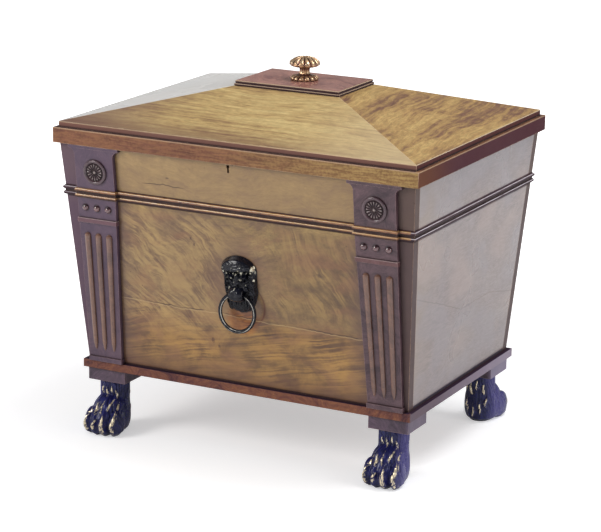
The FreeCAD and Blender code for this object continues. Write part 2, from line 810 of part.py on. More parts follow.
def ring_passage():
    """The flared hole through the muzzle, in which the ring hangs and swings."""
    body = doc.addObject("PartDesign::Body", "ring_passage")
    inner = "(ring_radius - ring_wire - ring_play)"
    half = "(muzzle_radius * 1.5)"
    throat = "(ring_wire + ring_play)"
    points = [("0", f"-{half}"), (f"ring_radius - sqrt({inner}^2 - {half}^2)", f"-{half}")]
    steps = 6
    for step in (n for n in range(1 - steps, steps) if n):
        along = f"({half} * {step} / {steps})"
        points.append((f"ring_radius - sqrt({inner}^2 - {along}^2)", along))
    points.append((f"ring_radius - sqrt({inner}^2 - {half}^2)", half))
    points.append(("0", half))
    revolve(body, sketch_profile(body, "ring_passage_outline", "XZ_Plane", points))
    place(body, "0", "-ring_outset", f"-{RING_DROP_IN_MASK}", (0, 1, 0), "90")
    return body


def make_mask_bolt():
    """The stud that holds the mask, with its nut against the inside of the front board."""
    shank = mask_bolt_shank("mask_stud")
    nut = doc.addObject("Part::Cylinder", "mask_nut")
    bind(nut, Radius="mask_nut_radius", Height="mask_nut_height - liner_play")
    inside = f"-board * cos({FRONT_TILT})"
    on_front(nut, "mask_x", MASK_BOLT_DROP, inside, -90)
    node(fuse("mask_bolt", shank, nut), "mask_bolt")


def make_ring():
    """The ring pull, hanging plumb from the muzzle."""
    ring = doc.addObject("Part::Torus", "ring_pull")
    bind(ring, Radius1="ring_radius", Radius2="ring_wire")
    y = f"-rim_depth / 2 + ring_drop * sin({FRONT_TILT}) - ring_outset * cos({FRONT_TILT})"
    z = f"{Z_RIM} - ring_drop * cos({FRONT_TILT}) - ring_outset * sin({FRONT_TILT}) - ring_radius"
    place(ring, "mask_x", y, z, (1, 0, 0), "90")
    node(ring, "ring_pull")


# ---- lock -------------------------------------------------------------------------------------

LOCK_Y = f"(-{half_depth(Z_RIM)} + board - lock_depth / 2)"


def lock_span(half, centre=LOCK_Y):
    return f"{centre} - ({half})", f"{centre} + ({half})"


def make_lock():
    """A box lock: its bolt slides through the staple's eye."""
    play = "lock_play"
    staple_x = ("lock_x - staple_thick / 2", "lock_x + staple_thick / 2")
    slot = box(
        "staple_slot",
        (f"{staple_x[0]} - {play}", f"{staple_x[1]} + {play}"),
        lock_span(f"staple_depth / 2 + {play}"),
        (f"{Z_LID} - staple_drop - {play} * 2", Z_LID),
    )
    rest = f"lock_x - staple_thick / 2 - {play} * 2"
    bolt_x = (f"{rest} - bolt_length", rest)
    half = "bolt_size / 2"
    channel = box(
        "bolt_channel",
        (f"{bolt_x[0]} - {play}", f"{bolt_x[1]} + bolt_travel + {play}"),
        lock_span(f"{half} + {play} / 2"),
        (f"{BOLT_Z} - {half} - {play} / 2", f"{BOLT_Z} + {half} + {play} / 2"),
    )
    case = cut("lock_case_cut", lock_block("lock_block"), slot, channel)
    node(cut("lock_case", case, keyhole("lock_keyhole")), "lock_case")
    bolt = box("lock_bolt", bolt_x, lock_span(half), (f"{BOLT_Z} - {half}", f"{BOLT_Z} + {half}"))
    node(bolt, "lock_bolt")


def staple_plate(name):
    return box(
        name,
        ("lock_x - staple_plate_length / 2", "lock_x + staple_plate_length / 2"),
        lock_span("staple_depth / 2"),
        (Z_LID, f"{Z_LID} + staple_plate"),
    )


def make_staple():
    """The staple on the lid, with an eye for the lock's bolt."""
    loop = box(
        "staple_loop",
        ("lock_x - staple_thick / 2", "lock_x + staple_thick / 2"),
        lock_span("staple_depth / 2"),
        (f"{Z_LID} - staple_drop", Z_LID),
    )
    half = "(bolt_size / 2 + lock_play)"
    eye = box(
        "staple_eye",
        ("lock_x - staple_thick", "lock_x + staple_thick"),
        lock_span(half),
        (f"{BOLT_Z} - {half}", f"{BOLT_Z} + {half}"),
    )
    whole = fuse("staple_whole", loop, staple_plate("staple_flange"))
    node(cut("lock_staple", whole, eye), "lock_staple")


# ---- hinges -----------------------------------------------------------------------------------


def knuckle(name, sign, span, radius="knuckle_radius"):
    """A barrel about the hinge's axis between two x offsets from the hinge's middle."""
    barrel = doc.addObject("Part::Cylinder", name)
    bind(barrel, Radius=radius, Height=f"({span[1]}) - ({span[0]})")
    return place(barrel, f"{sign} * hinge_x + ({span[0]})", Y_HINGE, Z_HINGE, (0, 1, 0), "90")




def make_leaf(name, side, sign, fixed, screws):
    """A hinge leaf: the fixed one has the two outer barrels, the lid's has the middle one."""
    z = (f"({Z_RIM} - leaf_thick)", Z_RIM) if fixed else (Z_LID, f"({Z_LID} + leaf_thick)")
    deep = ("rim_depth / 2 - leaf_depth", Y_HINGE)
    plate = box(f"{name}_plate", hinge_span(sign, "leaf_length / 2"), deep, z)
    play = "hinge_play / 2"
    outer = [
        ("-leaf_length / 2", f"-{KNUCKLE_SPLIT} - {play}"),
        (f"{KNUCKLE_SPLIT} + {play}", "leaf_length / 2"),
    ]
    middle = [(f"-{KNUCKLE_SPLIT} + {play}", f"{KNUCKLE_SPLIT} - {play}")]
    mine, other = (outer, middle) if fixed else (middle, outer)
    barrels = [knuckle(f"{name}_barrel_{n}", sign, span) for n, span in enumerate(mine)]
    gaps = []
    for n, span in enumerate(other):
        x = (f"{sign} * hinge_x + {span[0]} - hinge_play", f"{sign} * hinge_x + {span[1]} + hinge_play")
        y = (f"{Y_HINGE} - knuckle_radius - hinge_play", f"{Y_HINGE} + knuckle_radius")
        gaps.append(box(f"{name}_gap_{n}", x, y, (f"{z[0]} - leaf_thick", f"{z[1]} + leaf_thick")))
    blank = cut(f"{name}_blank", plate, *gaps)
    bore = knuckle(f"{name}_bore", sign, ("-leaf_length", "leaf_length"), "pin_radius + pin_clearance")
    whole = fuse(f"{name}_whole", blank, *barrels)
    node(cut(name, whole, bore, screws), f"{side}_hinge_{'lower' if fixed else 'upper'}")


def make_hinges(lower_screws, upper_screws):
    pins = []
    for side, sign in SIDES.items():
        make_leaf(f"{side}_lower_leaf", side, sign, True, lower_screws)
        make_leaf(f"{side}_upper_leaf", side, sign, False, upper_screws)
        pins.append(knuckle(f"{side}_pin", sign, ("-leaf_length / 2", "leaf_length / 2"), "pin_radius"))
    node(group("hinge_pins", pins), "hinge_pins")


# ---- lid --------------------------------------------------------------------------------------


def make_lid_frame(screws):
    """Four mitred rails; the back one is cut for the hinges and the front one for the staple."""
    half = (LID_HALF_WIDTH, LID_HALF_DEPTH)
    inner = (f"({LID_HALF_WIDTH} - rail_width)", f"({LID_HALF_DEPTH} - rail_width)")
    z = (Z_LID, Z_SLOPE)
    tools = [screws, staple_plate("staple_recess")]
    for side, sign in SIDES.items():
        leaf = (hinge_span(sign, "leaf_length / 2"), ("rim_depth / 2 - leaf_depth", Y_HINGE))
        tools.append(box(f"{side}_leaf_recess", *leaf, (Z_RIM, f"{Z_LID} + leaf_thick")))
        long = hinge_span(sign, "leaf_length / 2 + hinge_play")
        deep = (f"{Y_HINGE} - knuckle_radius * 1.12", f"{LID_HALF_DEPTH} + board")
        high = (Z_RIM, f"{Z_HINGE} + knuckle_radius * 1.12")
        tools.append(box(f"{side}_knuckle_notch", long, deep, high))
    rails = []
    for turn, (wide, deep) in zip((0, 90, 180, 270), ((0, 1), (1, 0), (0, 1), (1, 0))):
        rails.append(mitred(f"rail_{turn}", half[wide], inner[wide], half[deep], inner[deep], z, z, turn))
    rails[0] = cut("front_rail", rails[0], *tools[1:2])
    rails[2] = cut("back_rail", rails[2], tools[0], *tools[2:])
    node(group("lid_frame", rails), "lid_frame")


def make_slopes():
    """The hipped top: four boards mitred along the hips."""
    half = (f"({LID_HALF_WIDTH} - lid_ledge)", f"({LID_HALF_DEPTH} - lid_ledge)")
    inner = ("(cap_width / 2)", "(cap_depth / 2)")
    low = (Z_SLOPE, f"({Z_SLOPE} + slope_edge)")
    high = (f"({Z_CAP} - slope_edge)", Z_CAP)
    for turn, face in zip((0, 90, 180, 270), ("front", "right", "back", "left")):
        wide, deep = (0, 1) if face in ENDS else (1, 0)
        board = mitred(f"{face}_slope", half[wide], inner[wide], half[deep], inner[deep], low, high, turn)
        node(board, f"lid_{face}_slope")


def knob_hole(name, z):
    return cylinder(name, "knob_bolt_radius", f"{z[1]} - {z[0]}", z=z[0])


def make_cap():
    """The flat cap with its two-step edge, and the bearer under it."""
    middle = f"({Z_CAP} + cap_height / 2)"
    steps = []
    for name, z, inset in (("lower", (Z_CAP, middle), "0"), ("upper", (middle, Z_KNOB), "cap_step")):
        x = f"(cap_width / 2 - ({inset}))"
        y = f"(cap_depth / 2 - ({inset}))"
        block = box(f"cap_{name}_block", (f"-{x}", x), (f"-{y}", y), z)
        steps.append(rounded(f"cap_{name}", block, "cap_round", level_edge))
    drill = (f"({Z_CAP} - slope_edge)", f"({Z_KNOB} + knob_flange_height / 2)")
    node(cut("lid_cap", fuse("cap_whole", *steps), knob_hole("cap_hole", drill)), "lid_cap")
    spans = [(f"-{size} / 2", f"{size} / 2") for size in ("cap_width", "cap_depth")]
    bearer = box("bearer_block", *spans, (drill[0], Z_CAP))
    node(cut("cap_bearer", bearer, knob_hole("bearer_hole", drill)), "cap_bearer")


def make_knob():
    """The turned knob, and the stud and nut that hold it down."""
    cap, edge, top = "knob_cap_radius", "knob_cap_edge", "knob_height"
    points = [
        ("0", "0"),
        ("knob_flange_radius", "0"),
        ("knob_flange_radius", "knob_flange_height * 0.4"),
        ("knob_flange_radius * 0.86", "knob_flange_height * 0.8"),
        ("knob_flange_radius * 0.55", "knob_flange_height"),
        ("knob_neck_radius * 1.15", "knob_flange_height * 1.3"),
        ("knob_neck_radius", "knob_cap_base * 0.6"),
        ("knob_neck_radius * 1.1", "knob_cap_base"),
        (f"{cap} * 0.8", "knob_cap_base * 1.08"),
        (cap, f"{edge} * 0.95"),
        (cap, f"{edge} * 1.05"),
        (f"{cap} * 0.85", f"{edge} + ({top} - {edge}) * 0.5"),
        (f"{cap} * 0.5", f"{edge} + ({top} - {edge}) * 0.88"),
        ("0", top),
    ]
    drill = (f"({Z_CAP} - slope_edge - knob_nut_height * 1.5)", f"({Z_KNOB} + knob_flange_height / 2)")
    knob = place(turned("knob_turning", points), z=Z_KNOB)
    node(cut("knob", knob, knob_hole("knob_socket", drill)), "knob")
    z_nut = f"{Z_CAP} - slope_edge - knob_nut_height"
    nut = cylinder("knob_nut", "knob_nut_radius", "knob_nut_height", z=z_nut)
    node(fuse("knob_bolt", knob_hole("knob_stud", drill), nut), "knob_bolt")


def make_lid_lining():
    """The flat board that closes the underside of the hollow lid."""
    x, y = f"({LID_HALF_WIDTH} - rail_width)", f"({LID_HALF_DEPTH} - rail_width)"
    node(box("lid_lining", (f"-{x}", x), (f"-{y}", y), (Z_LID, f"{Z_LID} + lining_thick")), "lid_lining")


# ---- inside -----------------------------------------------------------------------------------


def make_liner():
    """The metal tray that lines the case."""
    z = (f"({Z_CASE} + bottom_thick)", f"({Z_RIM} - liner_drop)")
    outer = frustum("liner_outer", *(case_section(h, "board + liner_play") for h in z), z)
    inset = "board + liner_play + liner_thick"
    z_in = (f"({z[0]} + liner_thick)", z[1])
    inner = frustum("liner_inner", *(case_section(h, inset) for h in z_in), z_in)
    room = doc.addObject("Part::Cylinder", "mask_nut_room")
    bind(room, Radius="mask_nut_radius + 1", Height="mask_nut_height * 2")
    on_front(room, "mask_x", MASK_BOLT_DROP, f"-board * cos({FRONT_TILT}) + mask_nut_height", -90)
    node(cut("liner", outer, inner, room), "liner")


def make_dividers():
    """Upright partitions that part the liner into bottle cells."""
    under_bolt = f"({Z_RIM} - {MASK_BOLT_DROP} * cos({FRONT_TILT}) - mask_nut_radius - divider_clearance)"
    z = (f"({Z_CASE} + bottom_thick + liner_thick)", under_bolt)
    inset = "board + liner_play + liner_thick + divider_play"
    sections = [case_section(h, inset) for h in z]
    half = "divider_thick / 2"
    rows, columns = range(1, BOTTLE_ROWS), range(1, BOTTLE_COLUMNS)
    row_ys = [f"({row} * 2 / {BOTTLE_ROWS} - 1) * (sole_depth / 2 - board)" for row in rows]
    column_xs = [f"({column} * 2 / {BOTTLE_COLUMNS} - 1) * (sole_width / 2 - board)" for column in columns]
    long_boards = []
    for number, y in enumerate(row_ys):
        ends = [(s[0], s[1], f"{y} - {half}", f"{y} + {half}") for s in sections]
        long_boards.append(frustum(f"long_partition_{number}", *ends, z))
    node(group("long_partitions", long_boards), "long_partitions")
    cross_boards = []
    for column, x in enumerate(column_xs):
        for row in range(BOTTLE_ROWS):
            ends = []
            for s in sections:
                y0 = s[2] if row == 0 else f"{row_ys[row - 1]} + {half}"
                y1 = s[3] if row == BOTTLE_ROWS - 1 else f"{row_ys[row]} - {half}"
                ends.append((f"{x} - {half}", f"{x} + {half}", y0, y1))
            cross_boards.append(frustum(f"cross_partition_{column}_{row}", *ends, z))
    node(group("cross_partitions", cross_boards), "cross_partitions")


# ---- the whole --------------------------------------------------------------------------------


def build():
    lower_screws = hinge_screws("lower_screws", Z_RIM, "180")
    upper_screws = hinge_screws("upper_screws", Z_LID, "0")
    make_front_board()
    make_back_board(lower_screws)
    for side in SIDES:
        node(wall(side), f"{side}_board")
    make_bottom_board()
    make_stand()
    make_front_ornament()
    make_escutcheon()
    make_mask()
    make_mask_bolt()
    make_ring()
    make_lock()
    make_staple()
    make_hinges(lower_screws, upper_screws)
    node(lower_screws, "lower_hinge_screws")
    node(upper_screws, "upper_hinge_screws")
    make_lid_frame(upper_screws)
    make_slopes()
    make_cap()
    make_knob()
    make_lid_lining()
    make_liner()
    make_dividers()
    doc.recompute()


def check():
    """Stops if any object failed or any sub-part's shape is missing or broken."""
    failed = [thing.Name for thing in doc.Objects if {"Invalid", "Error"} & set(thing.State)]
    broken = [n.Label for n in nodes if n.Shape.isNull() or not n.Shape.isValid() or not n.Shape.Solids]
    if failed or broken:
        raise SystemExit(f"failed: {failed}; broken: {broken}")


def write():
    os.makedirs("parts", exist_ok=True)
    for thing in nodes:
        thing.Shape.exportStep(f"parts/{thing.Label}.step")


build()
check()
write()
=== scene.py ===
"""Dresses the cellarette: sawn and carved pieces, polished mahogany, bronze, gilt and a pale studio."""

import math

import bmesh
import bpy
from mathutils import Matrix, Vector, noise


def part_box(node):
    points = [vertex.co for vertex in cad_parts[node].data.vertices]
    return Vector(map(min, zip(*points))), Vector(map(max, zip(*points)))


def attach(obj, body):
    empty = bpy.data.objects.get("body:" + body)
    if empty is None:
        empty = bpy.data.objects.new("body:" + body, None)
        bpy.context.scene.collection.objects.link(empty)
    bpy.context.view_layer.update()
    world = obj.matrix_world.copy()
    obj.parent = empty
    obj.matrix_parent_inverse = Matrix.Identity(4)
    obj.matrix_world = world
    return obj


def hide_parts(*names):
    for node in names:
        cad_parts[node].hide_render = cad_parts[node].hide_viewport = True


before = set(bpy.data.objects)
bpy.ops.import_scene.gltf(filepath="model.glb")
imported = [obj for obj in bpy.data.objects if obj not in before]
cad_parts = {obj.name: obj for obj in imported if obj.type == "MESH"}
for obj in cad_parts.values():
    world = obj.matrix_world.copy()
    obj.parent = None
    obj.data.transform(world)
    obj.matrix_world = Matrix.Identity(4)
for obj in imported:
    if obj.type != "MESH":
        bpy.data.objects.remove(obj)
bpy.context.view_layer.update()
scene = bpy.context.scene

# ---- studio -----------------------------------------------------------------------------------

AZIMUTH = math.radians(26.99)
ELEVATION = math.radians(14.98)
ROLL = math.radians(0.90)
CAMERA_PLACE = (1.8705, -3.6768, 1.3929)
LENS = 146.03


def place_camera():
    back = Vector((
        math.sin(AZIMUTH) * math.cos(ELEVATION),
        -math.cos(AZIMUTH) * math.cos(ELEVATION),
        math.sin(ELEVATION),
    ))
    level = Vector((math.cos(AZIMUTH), math.sin(AZIMUTH), 0))
    up = back.cross(level)
    right = level * math.cos(ROLL) + up * math.sin(ROLL)
    top = up * math.cos(ROLL) - level * math.sin(ROLL)
    camera = bpy.data.objects.new("camera", bpy.data.cameras.new("camera"))
    scene.collection.objects.link(camera)
    camera.matrix_world = Matrix((right, top, back)).transposed().to_4x4()
    camera.location = CAMERA_PLACE
    camera.data.sensor_width = 36
    camera.data.sensor_fit = "HORIZONTAL"
    camera.data.lens = LENS
    camera.data.clip_end = 50
    scene.camera = camera


def softbox(name, place, aim, size, power, colour=(1, 1, 1)):
    lamp = bpy.data.lights.new(name, "AREA")
    lamp.shape = "RECTANGLE"
    lamp.size, lamp.size_y = size
    lamp.energy = power
    lamp.color = colour
    box = bpy.data.objects.new(name, lamp)
    scene.collection.objects.link(box)
    box.location = place
    box.rotation_euler = (Vector(aim) - Vector(place)).to_track_quat("-Z", "Y").to_euler()


# ---- node helpers -----------------------------------------------------------------------------


def add(tree, kind, links=None, **settings):
    """A node whose inputs are set or linked by name or number, and whose properties are set by name."""
    node = tree.nodes.new(kind)
    for key, value in settings.items():
        setattr(node, key, value)
    for key, value in (links or {}).items():
        socket = node.inputs[key]
        if isinstance(value, bpy.types.NodeSocket):
            tree.links.new(value, socket)
        else:
            socket.default_value = value
    return node


def tree_of(*values):
    """The node tree of the first value that is a socket."""
    return next(value.id_data for value in values if isinstance(value, bpy.types.NodeSocket))


def maths(operation, a, b=0.5, c=0.5, clamp=False):
    links = {0: a, 1: b, 2: c}
    return add(tree_of(a, b, c), "ShaderNodeMath", links, operation=operation, use_clamp=clamp).outputs[0]


def times(a, b):
    return maths("MULTIPLY", a, b)


def plus(a, b):
    return maths("ADD", a, b)


def minus(a, b):
    return maths("SUBTRACT", a, b)


def most(a, b):
    return maths("MAXIMUM", a, b)


def about(across, up, middle, stretch=(1, 1)):
    """Squared distance from a middle point of a face, stretched across and up."""
    off = [times(minus(value, centre), factor)
           for value, centre, factor in zip((across, up), middle, stretch)]
    return plus(times(off[0], off[0]), times(off[1], off[1]))


def blend(share, a, b):
    """Colour a turning into b by share."""
    a, b = ((*colour, 1) if isinstance(colour, tuple) else colour for colour in (a, b))
    return add(tree_of(share, a, b), "ShaderNodeMix", {0: share, 6: a, 7: b}, data_type="RGBA").outputs[2]


def stained(colour, strength, stain):
    """Lays a stain over a colour; the strength is a product of masks and shares."""
    share = strength[0]
    for value in strength[1:]:
        share = times(share, value)
    return blend(share, colour, stain)


def ease(value, low, high, out_low=0.0, out_high=1.0):
    """value eased from low..high to out_low..out_high."""
    links = {0: value, 1: low, 2: high, 3: out_low, 4: out_high}
    return add(tree_of(value), "ShaderNodeMapRange", links, interpolation_type="SMOOTHSTEP").outputs[0]


def band(value, low, high, soft):
    """1 between low and high, falling off over soft at both ends."""
    rise = ease(value, low - soft / 2, low + soft / 2)
    return times(rise, ease(value, high + soft / 2, high - soft / 2))


def grain_noise(vector, scale, detail=4.0, rough=0.55, distort=0.0):
    links = {"Vector": vector, "Scale": scale, "Detail": detail, "Roughness": rough, "Distortion": distort}
    return add(tree_of(vector), "ShaderNodeTexNoise", links).outputs[0]


def drifting(vector, scale):
    """A wandering vector for bending a pattern."""
    links = {"Vector": vector, "Scale": scale, "Detail": 3.0}
    return add(tree_of(vector), "ShaderNodeTexNoise", links).outputs[1]


def vectors(operation, a, b):
    return add(tree_of(a, b), "ShaderNodeVectorMath", {0: a, 1: b}, operation=operation).outputs[0]


def scaled(vector, factor):
    return add(tree_of(vector), "ShaderNodeVectorMath", {0: vector, 3: factor}, operation="SCALE").outputs[0]


def marked(tree, name):
    """A mark left by the carver, as a mask."""
    return add(tree, "ShaderNodeAttribute", attribute_name=name).outputs["Fac"]


def new_group(name, inputs, outputs):
    """A node group with named sockets; returns it with its input and output nodes."""
    group = bpy.data.node_groups.new(name, "ShaderNodeTree")
    for kind, sockets in (("INPUT", inputs), ("OUTPUT", outputs)):
        for label, value in sockets.items():
            form = {float: "NodeSocketFloat", tuple: "NodeSocketColor", str: "NodeSocketVector"}[type(value)]
            socket = group.interface.new_socket(label, in_out=kind, socket_type=form)
            if kind == "INPUT" and not isinstance(value, str):
                socket.default_value = (*value, 1) if isinstance(value, tuple) else value
    return group, group.nodes.new("NodeGroupInput").outputs, group.nodes.new("NodeGroupOutput").inputs


def wood_grain():
    """Mahogany: flowing figure, mottle, fine grain lines and pores; the grain runs along X."""
    inputs = {
        "Vector": "", "Light": (0.4, 0.25, 0.1), "Mid": (0.25, 0.12, 0.05), "Dark": (0.1, 0.04, 0.02),
        "Figure": 1.0, "Mottle": 0.5, "Stripe": 0.5, "Swirl": 0.5,
    }
    tree, given, out = new_group("wood grain", inputs, {"Color": (0, 0, 0), "Height": 0.0})
    drift = drifting(given["Vector"], 5.0)
    drift = vectors("SUBTRACT", drift, (0.5, 0.5, 0.5))
    bent = vectors("ADD", given["Vector"], scaled(drift, given["Swirl"]))

    def along(x, yz):
        return vectors("MULTIPLY", bent, (x, yz, yz))

    figure = grain_noise(along(2.4, 13.0), given["Figure"], 5.0, 0.62)
    mottle = grain_noise(along(22.0, 34.0), 1.6, 6.0, 0.68)
    stripe = grain_noise(along(4.0, 130.0), 1.0, 4.0, 0.65)
    fine = grain_noise(along(26.0, 620.0), 1.0, 3.0, 0.65)
    pores = grain_noise(along(110.0, 1300.0), 1.0, 1.0, 0.5)
    tone = plus(times(ease(figure, 0.28, 0.72, -0.5, 0.5), 0.7), 0.5)
    mottled = times(ease(mottle, 0.28, 0.72, -0.5, 0.5), given["Mottle"])
    striped = times(ease(stripe, 0.28, 0.72, -0.5, 0.5), given["Stripe"])
    tone = maths("ADD", plus(tone, mottled), striped, clamp=True)
    ramped = blend(ease(tone, -0.05, 0.55), given["Dark"], given["Mid"])
    ramped = blend(ease(tone, 0.4, 1.05), ramped, given["Light"])
    lines = ease(fine, 0.32, 0.66, 0.86, 1.1)
    cloud = grain_noise(along(70.0, 210.0), 1.0, 3.0, 0.6)
    lines = times(lines, ease(cloud, 0.3, 0.7, 0.88, 1.1))
    shade = times(lines, ease(pores, 0.3, 0.4, 0.78, 1.0))
    tree.links.new(scaled(ramped, shade), out["Color"])
    tree.links.new(shade, out["Height"])
    return tree


WOOD = wood_grain()


def material(name):
    made = bpy.data.materials.new(name)
    made.use_nodes = True
    shader = made.node_tree.nodes["Principled BSDF"]
    return made, made.node_tree, shader


def place_on_piece(tree):
    return add(tree, "ShaderNodeTexCoord").outputs["Object"]


def mapped(tree, turn=(0, 0, 0), scale=(1, 1, 1)):
    """Object coordinates, turned in degrees and scaled, so that a pattern lies as the grain does."""
    turn = tuple(math.radians(v) for v in turn)
    links = {"Vector": place_on_piece(tree), "Rotation": turn, "Scale": scale}
    return add(tree, "ShaderNodeMapping", links).outputs[0]


def speckle(tree, scale, detail, rough=0.55, distort=0.0):
    """Noise over a piece, with a scale for each axis."""
    return grain_noise(mapped(tree, scale=scale), 1.0, detail, rough, distort)


def spots(tree):
    """The three coordinates of a point of a piece."""
    return add(tree, "ShaderNodeSeparateXYZ", {0: place_on_piece(tree)}).outputs


def worn_and_lit_edges():
    """How far a point lies on a worn arris that carries a painted highlight: 0 on the flats, up to 1 on the
    sharpest corners.
    """
    tree, given, out = new_group("rubbed arris", {"Width": 0.0016}, {"Worn and lit": 0.0})
    rounded = add(tree, "ShaderNodeBevel", {"Radius": given["Width"]}, samples=6).outputs[0]
    flat = add(tree, "ShaderNodeNewGeometry").outputs["Normal"]
    links = {0: rounded, 1: flat}
    dot = add(tree, "ShaderNodeVectorMath", links, operation="DOT_PRODUCT").outputs["Value"]
    uneven = ease(grain_noise(place_on_piece(tree), 55.0, 3.0), 0.36, 0.62, 0.25, 1.0)
    tree.links.new(times(ease(dot, 0.985, 0.8), uneven), out["Worn and lit"])
    return tree


WORN_AND_LIT = worn_and_lit_edges()


def shade_and_grime():
    """How deep a point lies in a corner, groove or carved recess: painted shade, with the dirt that gathers
    there.
    """
    tree, given, out = new_group("shade_and_grime", {"Distance": 0.007}, {"Shaded": 0.0})
    links = {"Distance": given["Distance"]}
    open_sky = add(tree, "ShaderNodeAmbientOcclusion", links, samples=8).outputs["AO"]
    tree.links.new(ease(open_sky, 0.86, 0.4), out["Shaded"])
    return tree


SHADE_AND_GRIME = shade_and_grime()


def handling():
    """Where hands and cloths have dulled a polish: a roughness between a low and a high one."""
    tree, given, out = new_group("handling", {"Low": 0.26, "High": 0.42}, {"Roughness": 0.0})
    dulled = grain_noise(place_on_piece(tree), 6.0, 3.0)
    tree.links.new(ease(dulled, 0.3, 0.75, given["Low"], given["High"]), out["Roughness"])
    return tree


HANDLING = handling()


def tarnish():
    """Cloudy tarnish at a given scale, and the fine pits of a cast or drawn metal."""
    tree, given, out = new_group("tarnish", {"Scale": 120.0}, {"Bright": 0.0, "Pits": 0.0})
    place = place_on_piece(tree)
    clouds = grain_noise(place, given["Scale"], 5.0, 0.65)
    tree.links.new(ease(clouds, 0.35, 0.68), out["Bright"])
    tree.links.new(grain_noise(place, 520.0, 4.0, 0.6), out["Pits"])
    return tree


TARNISH = tarnish()


def effect(tree, group, **inputs):
    """Places a node group in a material and returns its outputs."""
    return add(tree, "ShaderNodeGroup", inputs, node_tree=group).outputs


def surface(tree, shader, colour, roughness, height, strength, distance):
    """Feeds the shader's colour, roughness and bumped normal."""
    bump = add(tree, "ShaderNodeBump", {"Height": height, "Strength": strength, "Distance": distance})
    for label, socket in (("Base Color", colour), ("Roughness", roughness), ("Normal", bump.outputs[0])):
        tree.links.new(socket, shader.inputs[label])


def wood(name, light, mid, dark, turn=(0, 0, 0), rough=0.32, coat=0.35, gloss=0.12, shine=0.5, bloom=0.0,
         edge=(0.55, 0.33, 0.2), crevice_dark=(0.03, 0.012, 0.014), tint=None, **grain):
    """A polished mahogany finish; tint gives the colour by place and a mask of where the polish is lost."""
    made, tree, shader = material(name)
    tones = {"Light": (*light, 1), "Mid": (*mid, 1), "Dark": (*dark, 1)}
    veneer = effect(tree, WOOD, Vector=mapped(tree, turn), **tones, **grain)
    colour, lost = tint(tree, veneer["Color"]) if tint else (veneer["Color"], None)
    # arrises paler in the edge colour: wear, and a painted highlight
    colour = stained(colour, [effect(tree, WORN_AND_LIT)["Worn and lit"], 0.75], edge)
    # painted shade, with dirt, darkens corners and recesses in the crevice colour
    colour = stained(colour, [effect(tree, SHADE_AND_GRIME)["Shaded"], 0.85], crevice_dark)
    dull = effect(tree, HANDLING, Low=rough - 0.06, High=rough + 0.1)["Roughness"]
    if lost:
        dull = plus(dull, times(lost, 0.45))
        kept = maths("SUBTRACT", coat, times(lost, coat * 0.85), clamp=True)
        tree.links.new(kept, shader.inputs["Coat Weight"])
    surface(tree, shader, colour, dull, veneer["Height"], 0.15, 0.0004)
    for socket, value in (("Coat Weight", coat), ("Coat Roughness", gloss), ("Specular IOR Level", shine),
                          ("Sheen Weight", bloom), ("Sheen Roughness", 0.3)):
        shader.inputs[socket].default_value = value
    return made


def white_sweep():
    """A pale floor that keeps shadows and shows white to the camera."""
    bpy.ops.mesh.primitive_plane_add(size=30)
    floor = bpy.context.object
    floor.name = "floor"
    made, tree, shader = material("white paper")
    shader.inputs["Base Color"].default_value = (0.83, 0.83, 0.84, 1)
    shader.inputs["Roughness"].default_value = 0.9
    shader.inputs["Emission Color"].default_value = (1, 1, 1, 1)
    path = add(tree, "ShaderNodeLightPath").outputs
    seen = most(path["Is Camera Ray"], times(path["Is Glossy Ray"], 0.25))
    links = {0: place_on_piece(tree)}
    away = add(tree, "ShaderNodeVectorMath", links, operation="LENGTH").outputs["Value"]
    # painted light: the floor glows for the camera, brighter the farther it lies from the middle
    lift = ease(away, 0.4, 1.7, 0.45, 1.0)
    tree.links.new(times(seen, lift), shader.inputs["Emission Strength"])
    floor.data.materials.append(made)


def light_studio():
    world = bpy.data.worlds.new("studio")
    scene.world = world
    world.use_nodes = True
    tree = world.node_tree
    tree.nodes.clear()
    path = add(tree, "ShaderNodeLightPath").outputs
    way = add(tree, "ShaderNodeTexCoord").outputs["Generated"]
    height = add(tree, "ShaderNodeSeparateXYZ", {0: way}).outputs[2]
    dim = ease(height, 0.05, 0.34, 0.62, 0.12)
    glossy = add(tree, "ShaderNodeBackground", {"Color": (1, 1, 1, 1), "Strength": dim}).outputs[0]
    seen = add(tree, "ShaderNodeBackground", {"Color": (1, 1, 1, 1), "Strength": 1.0}).outputs[0]
    fill = add(tree, "ShaderNodeBackground", {"Color": (0.95, 0.97, 1, 1), "Strength": 0.42}).outputs[0]
    shown = most(path["Is Camera Ray"], path["Is Transmission Ray"])
    mixed = add(tree, "ShaderNodeMixShader", {0: path["Is Glossy Ray"], 1: fill, 2: glossy}).outputs[0]
    mixed = add(tree, "ShaderNodeMixShader", {0: shown, 1: mixed, 2: seen}).outputs[0]
    add(tree, "ShaderNodeOutputWorld", {"Surface": mixed})
    softbox("key", (-2.6, -3.2, 2.6), (0, 0, 0.3), (1.8, 1.8), 105, (1, 0.98, 0.95))
    softbox("top", (1.4, 0.6, 3.6), (0, 0, 0.4), (1.6, 1.6), 60)
    softbox("side", (3.6, -0.4, 1.6), (0, 0, 0.3), (1.6, 1.6), 22)
    scene.view_settings.view_transform = "Standard"


# ---- carved pieces ----------------------------------------------------------------------------

MM = 0.001
FRONT_TILT = math.radians(7.398)
RIM_FRONT = Vector((0, -259.2, 522)) * MM
FACE = Matrix((
    (1, 0, 0),
    (0, -math.sin(FRONT_TILT), -math.cos(FRONT_TILT)),
    (0, math.cos(FRONT_TILT), -math.sin(FRONT_TILT)),
))


def on_face(x, up, out):
    """A point of the case's sloping front: across, up from the rim and out of the face, in millimetres."""
    return RIM_FRONT + FACE @ Vector((x, up, out)) * MM


